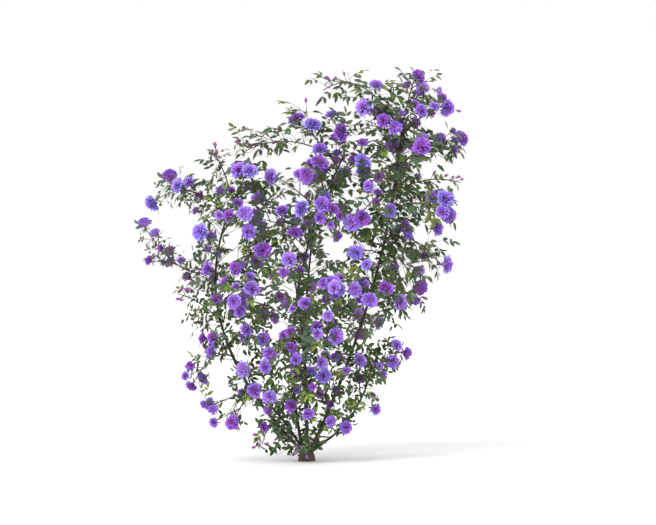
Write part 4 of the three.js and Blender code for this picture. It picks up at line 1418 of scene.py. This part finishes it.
def grown_leaflets(leaves, blooms, leaflet_width, rng):
    """Leaflets of some leaves, less those that meet a bloom, the sky or the ground, and the leaf stalks."""
    surfaces = []
    leaf_stalks = []
    for pairs in LEAFLET_SHARES:
        chosen = [leaf for leaf in leaves if leaf_pairs(leaf) == pairs]
        if not chosen:
            continue
        blades, stalks = pinnate_leaves(chosen, pairs, leaflet_width, rng)
        leaf_stalks += stalks
        root, along, _, _, length, _, _ = blades
        centre = root + along * (length * LEAFLET_CENTRE)[:, None]
        end = root + along * length[:, None]
        kept = off_blooms(centre, blooms) & may_grow(centre) & (end[:, 2] > GROUND_GAP)
        surfaces.append(leaflet_surfaces(*[column[kept] for column in blades]))
    return joined(surfaces), leaf_stalks


def grown_petals(blooms, count, rng):
    """Petals of full blooms, and half as many on each smaller one, as one surface for each rank."""
    full = [bloom for bloom in blooms if bloom.opening == 1]
    small = [bloom for bloom in blooms if bloom.opening < 1]
    ranked = [[] for _ in RANKS]
    for chosen, petals, grid in ((full, count, PETAL_GRID), (small, count // 2, SMALL_PETAL_GRID)):
        if not chosen:
            continue
        points, u, v = petal_points(chosen, petals, grid, rng)
        place = np.digitize(petal_ranks(petals), RANK_EDGES)
        for index, surfaces in enumerate(ranked):
            surfaces.append(sheets(points[:, place == index].reshape(-1, *grid, 3), u, v))
    return [joined(surfaces) for surfaces in ranked]


def add_node(tree, kind, inputs, **settings):
    """A node with its settings, each input linked to another node's result or set to a plain value."""
    node = tree.nodes.new(kind)
    for setting, value in settings.items():
        setattr(node, setting, value)
    for socket, value in inputs.items():
        if isinstance(value, bpy.types.NodeSocket):
            tree.links.new(value, node.inputs[socket])
        else:
            node.inputs[socket].default_value = value
    return node


def math_node(tree, operation, *values):
    """The result of a Math node from sockets or plain numbers."""
    return add_node(tree, "ShaderNodeMath", dict(enumerate(values)), operation=operation).outputs[0]


def range_node(tree, value, start, end):
    """A value carried smoothly from one range to another."""
    inputs = {"Value": value, "From Min": start[0], "From Max": start[1], "To Min": end[0], "To Max": end[1]}
    return add_node(tree, "ShaderNodeMapRange", inputs, interpolation_type="SMOOTHSTEP").outputs["Result"]


def mix_node(tree, factor, first, second):
    """A colour between two, each a socket or a plain colour."""
    node = add_node(tree, "ShaderNodeMix", {"Factor": factor}, data_type="RGBA")
    sockets = [socket for socket in node.inputs if socket.type == "RGBA"]
    for socket, colour in zip(sockets, (first, second)):
        if isinstance(colour, bpy.types.NodeSocket):
            tree.links.new(colour, socket)
        else:
            socket.default_value = (*colour, 1.0)
    return [socket for socket in node.outputs if socket.type == "RGBA"][0]


def noise_node(tree, vector, scale, detail):
    """Soft noise over a vector."""
    inputs = {"Vector": vector, "Scale": scale, "Detail": detail}
    return add_node(tree, "ShaderNodeTexNoise", inputs).outputs[0]


def stretched(tree, vector, scale):
    """A vector scaled differently along each axis."""
    return add_node(tree, "ShaderNodeMapping", {"Vector": vector, "Scale": scale}).outputs[0]


def new_group(name, inputs, outputs):
    """A shader node group with float inputs and their defaults, and float outputs."""
    group = bpy.data.node_groups.new(name, "ShaderNodeTree")
    for socket, default in inputs.items():
        made = group.interface.new_socket(socket, in_out="INPUT", socket_type="NodeSocketFloat")
        made.default_value = default
    for socket in outputs:
        group.interface.new_socket(socket, in_out="OUTPUT", socket_type="NodeSocketFloat")
    return group, group.nodes.new("NodeGroupInput"), group.nodes.new("NodeGroupOutput")


def blade_pattern(group):
    """A blade's own pattern as a vector, and its parts along and across the blade."""
    pattern = add_node(group, "ShaderNodeUVMap", {}, uv_map="pattern").outputs[0]
    split = add_node(group, "ShaderNodeSeparateXYZ", {0: pattern})
    return pattern, split.outputs[0], split.outputs[1]


@functools.cache
def mottle_group():
    """Uneven growth over the plant: soft noise in its own space."""
    group, entry, result = new_group("rose_mottle", {"Scale": MOTTLE_SCALE}, ("Factor",))
    place = group.nodes.new("ShaderNodeTexCoord").outputs["Object"]
    cloud = noise_node(group, place, entry.outputs["Scale"], MOTTLE_DETAIL)
    group.links.new(range_node(group, cloud, NOISE_RANGE, FULL_RANGE), result.inputs["Factor"])
    return group


@functools.cache
def vein_group():
    """A leaflet's midrib and its slanting side veins, over the blade's own pattern."""
    group, _, result = new_group("rose_leaf_veins", {}, ("Vein", "Height"))
    _, along, across = blade_pattern(group)
    across = math_node(group, "ABSOLUTE", math_node(group, "SUBTRACT", across, 0.5))
    midrib = range_node(group, across, MIDRIB_EDGE, FALLING_RANGE)
    slant = math_node(group, "SUBTRACT", along, math_node(group, "MULTIPLY", across, SIDE_VEIN_SLANT))
    wave = math_node(group, "SINE", math_node(group, "MULTIPLY", slant, SIDE_VEIN_WAVE))
    sides = range_node(group, wave, SIDE_VEIN_EDGE, SIDE_VEIN_RANGE)
    vein = math_node(group, "MAXIMUM", midrib, sides)
    group.links.new(vein, result.inputs["Vein"])
    group.links.new(math_node(group, "SUBTRACT", 1.0, vein), result.inputs["Height"])
    return group


@functools.cache
def petal_group():
    """Mask from a petal's painted shade at the foot to its painted rim highlight, and streaks along it."""
    group, _, result = new_group("rose_petal_flush", {}, ("Rim", "Streak"))
    pattern, along, _ = blade_pattern(group)
    group.links.new(range_node(group, along, RIM_EDGE, FULL_RANGE), result.inputs["Rim"])
    streak = noise_node(group, stretched(group, pattern, STREAK_STRETCH), STRETCHED_SCALE, STREAK_DETAIL)
    group.links.new(range_node(group, streak, NOISE_RANGE, FULL_RANGE), result.inputs["Streak"])
    return group


@functools.cache
def furrow_group():
    """Bark that splits along its length: noise drawn out upwards, with dark cracks."""
    group, entry, result = new_group("rose_bark_furrows", {"Scale": STRETCHED_SCALE}, ("Crack", "Height"))
    place = group.nodes.new("ShaderNodeTexCoord").outputs["Object"]
    cloud = noise_node(group, stretched(group, place, CRACK_STRETCH), entry.outputs["Scale"], CRACK_DETAIL)
    group.links.new(range_node(group, cloud, CRACK_EDGE, FALLING_RANGE), result.inputs["Crack"])
    group.links.new(cloud, result.inputs["Height"])
    return group


class Finish:
    """A material with one Principled shader, and helpers that place the shared groups in it."""

    def __init__(self, name):
        self.material = bpy.data.materials.new(name)
        self.material.use_nodes = True
        self.tree = self.material.node_tree
        self.shader = self.tree.nodes["Principled BSDF"]

    def group(self, group, **inputs):
        """A shared group placed in this material with its own values."""
        return add_node(self.tree, "ShaderNodeGroup", inputs, node_tree=group).outputs

    def feed(self, socket, value):
        """A socket's result linked to the shader."""
        self.tree.links.new(value, self.shader.inputs[socket])

    def set(self, **values):
        """Constants set on the shader's own sockets."""
        for socket, value in values.items():
            self.shader.inputs[socket.replace("_", " ")].default_value = value

    def roughen(self, value, low, high):
        """Roughness that goes with a value, from 0 to 1, between two ends."""
        self.feed("Roughness", range_node(self.tree, value, FULL_RANGE, (low, high)))

    def bump(self, height, strength, distance):
        """Fine relief from a height."""
        inputs = {"Strength": strength, "Distance": distance, "Height": height}
        self.feed("Normal", add_node(self.tree, "ShaderNodeBump", inputs).outputs[0])


def shaded(colour, factor):
    """A colour made lighter or darker, kept within range."""
    return tuple(min(1.0, part * factor) for part in colour)


def leaf_finish(name, colour, underside):
    """Satin leaf: mottled green, paler veins and a dull pale underside."""
    finish = Finish(name)
    mottle = finish.group(mottle_group(), Scale=LEAF_MOTTLE)["Factor"]
    veins = finish.group(vein_group())
    green = mix_node(finish.tree, mottle, *(shaded(colour, shade) for shade in LEAF_SHADES))
    soft = math_node(finish.tree, "MULTIPLY", veins["Vein"], VEIN_SHARE)
    green = mix_node(finish.tree, soft, green, shaded(colour, VEIN_SHADE))
    back = finish.tree.nodes.new("ShaderNodeNewGeometry").outputs["Backfacing"]
    pale = math_node(finish.tree, "MULTIPLY", back, UNDERSIDE_SHARE)
    finish.feed("Base Color", mix_node(finish.tree, pale, green, underside))
    finish.roughen(mottle, *LEAF_ROUGHNESS)
    finish.bump(veins["Height"], *LEAF_RELIEF)
    finish.set(Specular_IOR_Level=LEAF_SPECULAR)
    return finish.material


def petal_finish(name, colour, painted_shades, rim):
    """Soft petal with fine streaks: painted shade deepens it to the foot, a painted highlight pales the rim.
    """
    finish = Finish(name)
    painted_rim_and_streaks = finish.group(petal_group())
    mottle = finish.group(mottle_group(), Scale=PETAL_MOTTLE)["Factor"]
    # Painted shade in the creases towards the petal's foot: the colour's parts scaled down
    painted_shade = tuple(part * share for part, share in zip(colour, painted_shades))
    body = mix_node(finish.tree, painted_rim_and_streaks["Streak"], painted_shade, shaded(painted_shade, STREAK_SHADE))
    # Painted highlight towards the rim, over the painted shade
    body = mix_node(finish.tree, painted_rim_and_streaks["Rim"], body, rim)
    shade = math_node(finish.tree, "MULTIPLY", mottle, PETAL_MOTTLE_SHARE)
    finish.feed("Base Color", mix_node(finish.tree, shade, body, shaded(colour, PETAL_MOTTLE_SHADE)))
    finish.roughen(painted_rim_and_streaks["Streak"], *PETAL_ROUGHNESS)
    finish.bump(painted_rim_and_streaks["Streak"], *PETAL_RELIEF)
    finish.set(Sheen_Weight=PETAL_SHEEN)
    return finish.material


def bark_finish(name, colour, crack):
    """Rough bark: furrowed along its length, with darker cracks and grey patches."""
    finish = Finish(name)
    furrows = finish.group(furrow_group())
    mottle = finish.group(mottle_group(), Scale=BARK_MOTTLE)["Factor"]
    patches = mix_node(finish.tree, mottle, *(shaded(colour, shade) for shade in BARK_SHADES))
    finish.feed("Base Color", mix_node(finish.tree, furrows["Crack"], patches, crack))
    finish.roughen(mottle, *BARK_ROUGHNESS)
    finish.bump(furrows["Height"], *BARK_RELIEF)
    return finish.material


def rind_finish(name, colour, blush, roughness):
    """Smooth young rind: two tones of growth, with fine dark specks."""
    finish = Finish(name)
    broad = finish.group(mottle_group(), Scale=RIND_MOTTLE)["Factor"]
    fine = finish.group(mottle_group(), Scale=RIND_SPECKS)["Factor"]
    tone = mix_node(finish.tree, broad, colour, blush)
    speck = math_node(finish.tree, "MULTIPLY", fine, SPECK_SHARE)
    finish.feed("Base Color", mix_node(finish.tree, speck, tone, shaded(colour, SPECK_SHADE)))
    finish.roughen(fine, roughness, roughness + RIND_ROUGHNESS_SPAN)
    finish.bump(fine, *RIND_RELIEF)
    return finish.material


def linear(red, green, blue):
    """A colour as seen on screen, from 0 to 255, as linear light."""
    parts = np.array((red, green, blue)) / 255
    return tuple(np.where(parts <= 0.04045, parts / 12.92, ((parts + 0.055) / 1.055) ** 2.4))


def colour_property(name, description, red, green, blue):
    """A colour that a user can change, with its default as seen on screen."""
    return bpy.props.FloatVectorProperty(
        name=name, description=description, subtype="COLOR", size=3, min=0.0, max=1.0,
        default=linear(red, green, blue))


class RoseSizes(bpy.types.PropertyGroup):
    """Sizes of the finer growth."""

    sprig_step: bpy.props.FloatProperty(
        name="Sprig step", description="Distance between sprigs along a stem or twig", default=0.018,
        min=0.010, max=0.200, unit="LENGTH")
    sprig_length: bpy.props.FloatProperty(
        name="Sprig length", description="Usual length of a sprig", default=0.055, min=0.010, max=0.150,
        unit="LENGTH")
    cane_sprig_step: bpy.props.FloatProperty(
        name="Cane sprig step", description="Distance between sprigs along a cane", default=0.009,
        min=0.005, max=0.200, unit="LENGTH")
    leaf_gap: bpy.props.FloatProperty(
        name="Leaf gap", description="Distance between leaves along a sprig", default=0.026, min=0.005,
        max=0.100, unit="LENGTH")
    leaflet_width: bpy.props.FloatProperty(
        name="Leaflet width", description="Leaflet width as a share of its length", default=0.45,
        min=0.1, max=0.9, subtype="FACTOR")
    petals: bpy.props.IntProperty(
        name="Petals", description="Petals of a full bloom", default=88, min=10, max=120)


class RoseColours(bpy.types.PropertyGroup):
    """Colours of the bark, leaves and blooms. The petals' colours are added below, from the palettes."""

    bark: colour_property("Bark", "Old bark of the rootstock", 88, 76, 62)
    bark_crack: colour_property("Bark cracks", "Bottom of the bark's furrows", 40, 32, 27)
    cane: colour_property("Cane", "Rind of the canes", 56, 52, 40)
    cane_blush: colour_property("Cane blush", "Older side of the canes' rind", 42, 36, 30)
    twig: colour_property("Twig", "Rind of stems and twigs", 98, 84, 62)
    twig_blush: colour_property("Twig blush", "Reddish side of stems and twigs", 114, 78, 80)
    prickle: colour_property("Prickle", "Prickles on canes and stems", 118, 72, 60)
    dark: colour_property("Dark leaf", "Leaves deep in the plant", 44, 64, 28)
    mid: colour_property("Leaf", "Most leaves", 68, 87, 40)
    grey: colour_property("Grey leaf", "Bluish grey leaves", 72, 92, 68)
    olive: colour_property("Olive leaf", "Older leaves", 98, 108, 52)
    bright: colour_property("Bright leaf", "Young leaves in the light", 112, 134, 58)
    underside: colour_property("Leaf underside", "Back of the leaves", 128, 140, 112)
    sepal: colour_property("Sepal", "Sepals and urns under the blooms", 92, 112, 62)
    bud: colour_property("Bud", "Closed buds", 182, 98, 188)
    bud_blush: colour_property("Bud blush", "Deeper side of the buds", 146, 62, 160)
    floor: colour_property("Floor", "Pale studio floor", 243, 243, 243)


RoseColours.__annotations__.update({
    f"{palette}_{rank}": colour_property(
        f"{palette.capitalize()}, {rank}", f"{rank.capitalize()} petals of {palette} blooms", *colour)
    for palette, colours in PALETTE_COLOURS.items() for rank, colour in zip(RANKS, colours)})


class ROSE_OT_rootstock(bpy.types.Operator):
    """Make the rootstock with its bark"""

    bl_idname = "rose.rootstock"
    bl_label = "Rootstock"

    def execute(self, context):
        colours = context.scene.rose_colours
        material = bark_finish("rose_bark", colours.bark, colours.bark_crack)
        make_piece("rootstock_bark", rootstock_surface(), material, ("rootstock",))
        return {"FINISHED"}


class ROSE_OT_canes(bpy.types.Operator):
    """Make each cane with its rind, and the prickles on canes and stems"""

    bl_idname = "rose.canes"
    bl_label = "Canes and prickles"

    def execute(self, context):
        colours = context.scene.rose_colours
        canes, shoots = plant()
        material = rind_finish("rose_cane_rind", colours.cane, colours.cane_blush, RIND_ROUGHNESS)
        for seed, (name, stalk) in enumerate(canes.items()):
            make_piece(f"cane_{name}_rind", cane_surface(stalk, seed), material, (f"cane_{name}",))
        prickles = grown_prickles(canes, shoots, np.random.default_rng(PRICKLE_SEED))
        material = rind_finish("rose_prickle", colours.prickle, colours.cane, SMOOTH_ROUGHNESS)
        make_piece("prickles", prickles, material, [f"cane_{name}" for name in canes])
        return {"FINISHED"}


class ROSE_OT_wood(bpy.types.Operator):
    """Make the shoots' stems, twigs and sprigs"""

    bl_idname = "rose.wood"
    bl_label = "Stems, twigs and sprigs"

    def execute(self, context):
        colours = context.scene.rose_colours
        _, shoots = plant()
        nodes = nodes_of(shoots)
        stems = tapered_tubes([shoot.stem for shoot in shoots], *STEM_GRID)
        material = rind_finish("rose_stem_rind", colours.twig, colours.cane, RIND_ROUGHNESS)
        make_piece("stems", stems, material, nodes)
        twigs = tapered_tubes([twig for shoot in shoots for twig in shoot.twigs], *TWIG_GRID)
        sprigs = tapered_tubes([sprig for shoot in shoots for sprig in shoot.sprigs], *SPRIG_GRID)
        bud_stalks = tapered_tubes([stalk for shoot in shoots for stalk, _ in shoot.buds], *BUD_STALK_GRID)
        young = rind_finish("rose_twig_rind", colours.twig, colours.twig_blush, YOUNG_ROUGHNESS)
        make_piece("twigs_and_sprigs", joined((twigs, sprigs, bud_stalks)), young, nodes)
        return {"FINISHED"}


class ROSE_OT_leaves(bpy.types.Operator):
    """Make the leaflets, dealt out in greens by spray, and their stalks"""

    bl_idname = "rose.leaves"
    bl_label = "Leaves"

    def execute(self, context):
        colours = context.scene.rose_colours
        width = context.scene.rose_sizes.leaflet_width
        _, shoots = plant()
        rng = np.random.default_rng(LEAFLET_SEED)
        leaf_stalks = []
        for number, green in enumerate(GREENS):
            leaves = [leaf for shoot in shoots for leaf in shoot.leaves if leaf.green == number]
            leaflets, stalks = grown_leaflets(leaves, all_blooms(shoots), width, rng)
            leaf_stalks += stalks
            nodes = nodes_of(shoot for shoot in shoots if any(leaf.green == number for leaf in shoot.leaves))
            material = leaf_finish(f"rose_leaf_{green}", getattr(colours, green), colours.underside)
            make_piece(f"leaflets_{green}", leaflets, material, nodes)
        material = rind_finish("rose_leaf_stalk", colours.twig, colours.mid, RIND_ROUGHNESS)
        surface = tapered_tubes(leaf_stalks, *LEAF_STALK_GRID)
        make_piece("leaf_stalks", surface, material, nodes_of(shoots))
        return {"FINISHED"}


class ROSE_OT_blooms(bpy.types.Operator):
    """Make the petals, dealt out in colours by bloom and by rank"""

    bl_idname = "rose.blooms"
    bl_label = "Blooms"

    def execute(self, context):
        colours = context.scene.rose_colours
        petals = context.scene.rose_sizes.petals
        _, shoots = plant()
        rng = np.random.default_rng(PETAL_SEED)
        for number, palette in enumerate(PALETTE_COLOURS):
            holders = [shoot for shoot in shoots if any(bloom.palette == number for bloom in shoot.blooms)]
            blooms = [bloom for bloom in all_blooms(holders) if bloom.palette == number]
            outer = getattr(colours, f"{palette}_outer")
            for rank, surface in zip(RANKS, grown_petals(blooms, petals, rng)):
                colour = getattr(colours, f"{palette}_{rank}")
                # Painted highlight for the rims: the rank's colour mixed with the outer one, made lighter
                rim = tuple(RIM_OWN_SHARE * own + RIM_OUTER_SHARE * part for own, part in zip(colour, outer))
                # Painted shade for the creases, less deep in the heart
                painted_shades = HEART_PAINTED_SHADE if rank == "heart" else PETAL_PAINTED_SHADE
                name = f"{palette}_{rank}"
                material = petal_finish(f"rose_petal_{name}", colour, painted_shades, shaded(rim, PAINTED_RIM_HIGHLIGHT))
                make_piece(f"petals_{name}", surface, material, nodes_of(holders))
        return {"FINISHED"}


class ROSE_OT_buds(bpy.types.Operator):
    """Make the buds, and the sepals and urns under buds and blooms"""

    bl_idname = "rose.buds"
    bl_label = "Buds and sepals"

    def execute(self, context):
        colours = context.scene.rose_colours
        _, shoots = plant()
        nodes = nodes_of(shoots)
        buds = [bud for shoot in shoots for bud in shoot.buds]
        bud_foot = np.array([stalk.tip for stalk, _ in buds])
        bud_facing = np.array([stalk.heading(1) for stalk, _ in buds])
        bud_size = np.array([size for _, size in buds])
        material = rind_finish("rose_bud", colours.bud, colours.bud_blush, YOUNG_ROUGHNESS)
        make_piece("buds", bud_surfaces(bud_foot, bud_facing, bud_size), material, nodes)

        blooms = all_blooms(shoots)
        foot = np.concatenate((np.array([bloom.foot for bloom in blooms]), bud_foot))
        facing = np.concatenate((np.array([bloom.facing for bloom in blooms]), bud_facing))
        diameter = np.array([bloom.diameter for bloom in blooms])
        opening = np.array([bloom.opening for bloom in blooms])
        length = SEPAL_LENGTH + SEPAL_LENGTH_BY_BLOOM * diameter
        length = np.concatenate((length, BUD_SEPAL_LENGTH * bud_size))
        spread = SEPAL_OPENING + SEPAL_OPENING_BY_BLOOM * opening
        spread = np.concatenate((spread, np.full(len(buds), BUD_SEPAL_OPENING)))
        sepals = sepal_surfaces(foot, facing, length, spread, np.random.default_rng(SEPAL_SEED))
        material = leaf_finish("rose_sepal", colours.sepal, colours.underside)
        make_piece("sepals", sepals, material, nodes)

        width = np.concatenate((BLOOM_URN * diameter, BUD_URN * bud_size))
        material = rind_finish("rose_urn", colours.sepal, colours.mid, SMOOTH_ROUGHNESS)
        make_piece("urns", urn_surfaces(foot, facing, width), material, nodes)
        return {"FINISHED"}


def add_floor(scene):
    """A wide pale disc at ground level."""
    turn = around(FLOOR_SIDES)
    rim = FLOOR_RADIUS * np.stack((np.cos(turn), np.sin(turn), 0 * turn), axis=1)
    mesh = bpy.data.meshes.new("floor")
    mesh.from_pydata(rim, [], [range(len(rim))])
    finish = Finish("studio_floor")
    mottle = finish.group(mottle_group(), Scale=FLOOR_MOTTLE)["Factor"]
    pale = tuple(scene.rose_colours.floor)
    finish.feed("Base Color", mix_node(finish.tree, mottle, pale, shaded(pale, FLOOR_SHADE)))
    finish.set(Roughness=FLOOR_ROUGHNESS)
    mesh.materials.append(finish.material)
    floor = bpy.data.objects.new("floor", mesh)
    scene.collection.objects.link(floor)


def add_light(scene):
    """White light from all round, and a soft sun from the upper left."""
    world = bpy.data.worlds.new("studio")
    world.use_nodes = True
    sky = world.node_tree.nodes["Background"]
    sky.inputs["Color"].default_value = (1.0, 1.0, 1.0, 1.0)
    sky.inputs["Strength"].default_value = SKY_STRENGTH
    scene.world = world
    key = bpy.data.lights.new("key", "SUN")
    key.energy = SUN_STRENGTH
    key.angle = SUN_SOFTNESS
    lamp = bpy.data.objects.new("key", key)
    lamp.rotation_euler = [math.radians(turn) for turn in SUN_TURN]
    scene.collection.objects.link(lamp)
    scene.view_settings.view_transform = "Standard"


def add_camera(scene):
    """A camera square to the plant's face, far enough off to see it almost without perspective."""
    lens = bpy.data.cameras.new("camera")
    lens.sensor_width = SENSOR_WIDTH
    lens.lens = SENSOR_WIDTH * CAMERA_DISTANCE / PHOTO_WIDTH
    lens.clip_end = CAMERA_REACH
    camera = bpy.data.objects.new("camera", lens)
    camera.location = (CAMERA_PLACE[0], -CAMERA_DISTANCE, CAMERA_PLACE[1])
    camera.rotation_euler = (math.radians(90), 0.0, 0.0)
    scene.collection.objects.link(camera)
    scene.camera = camera


class ROSE_OT_stage(bpy.types.Operator):
    """Make the pale floor, the soft light and the camera"""

    bl_idname = "rose.stage"
    bl_label = "Stage"

    def execute(self, context):
        add_floor(context.scene)
        add_light(context.scene)
        add_camera(context.scene)
        return {"FINISHED"}


class ROSE_PT_panel(bpy.types.Panel):
    """The rose's pieces, in the order that they are made"""

    bl_idname = "ROSE_PT_panel"
    bl_label = "Climbing rose"
    bl_space_type = "VIEW_3D"
    bl_region_type = "UI"
    bl_category = "Rose"

    def draw(self, context):
        for operator in OPERATORS:
            self.layout.operator(operator.bl_idname)


OPERATORS = (ROSE_OT_rootstock, ROSE_OT_canes, ROSE_OT_wood, ROSE_OT_leaves, ROSE_OT_blooms, ROSE_OT_buds,
             ROSE_OT_stage)
CLASSES = (RoseSizes, RoseColours, *OPERATORS, ROSE_PT_panel)


def register():
    """Registers the classes, and gives the scene its sizes and colours."""
    for made in CLASSES:
        bpy.utils.register_class(made)
    bpy.types.Scene.rose_sizes = bpy.props.PointerProperty(type=RoseSizes)
    bpy.types.Scene.rose_colours = bpy.props.PointerProperty(type=RoseColours)


def unregister():
    """Takes away what register added."""
    del bpy.types.Scene.rose_colours
    del bpy.types.Scene.rose_sizes
    for made in reversed(CLASSES):
        bpy.utils.unregister_class(made)


def main():
    """Makes every piece and the stage."""
    register()
    bpy.ops.rose.rootstock()
    bpy.ops.rose.canes()
    bpy.ops.rose.wood()
    bpy.ops.rose.leaves()
    bpy.ops.rose.blooms()
    bpy.ops.rose.buds()
    bpy.ops.rose.stage()


if __name__ == "__main__":
    main()
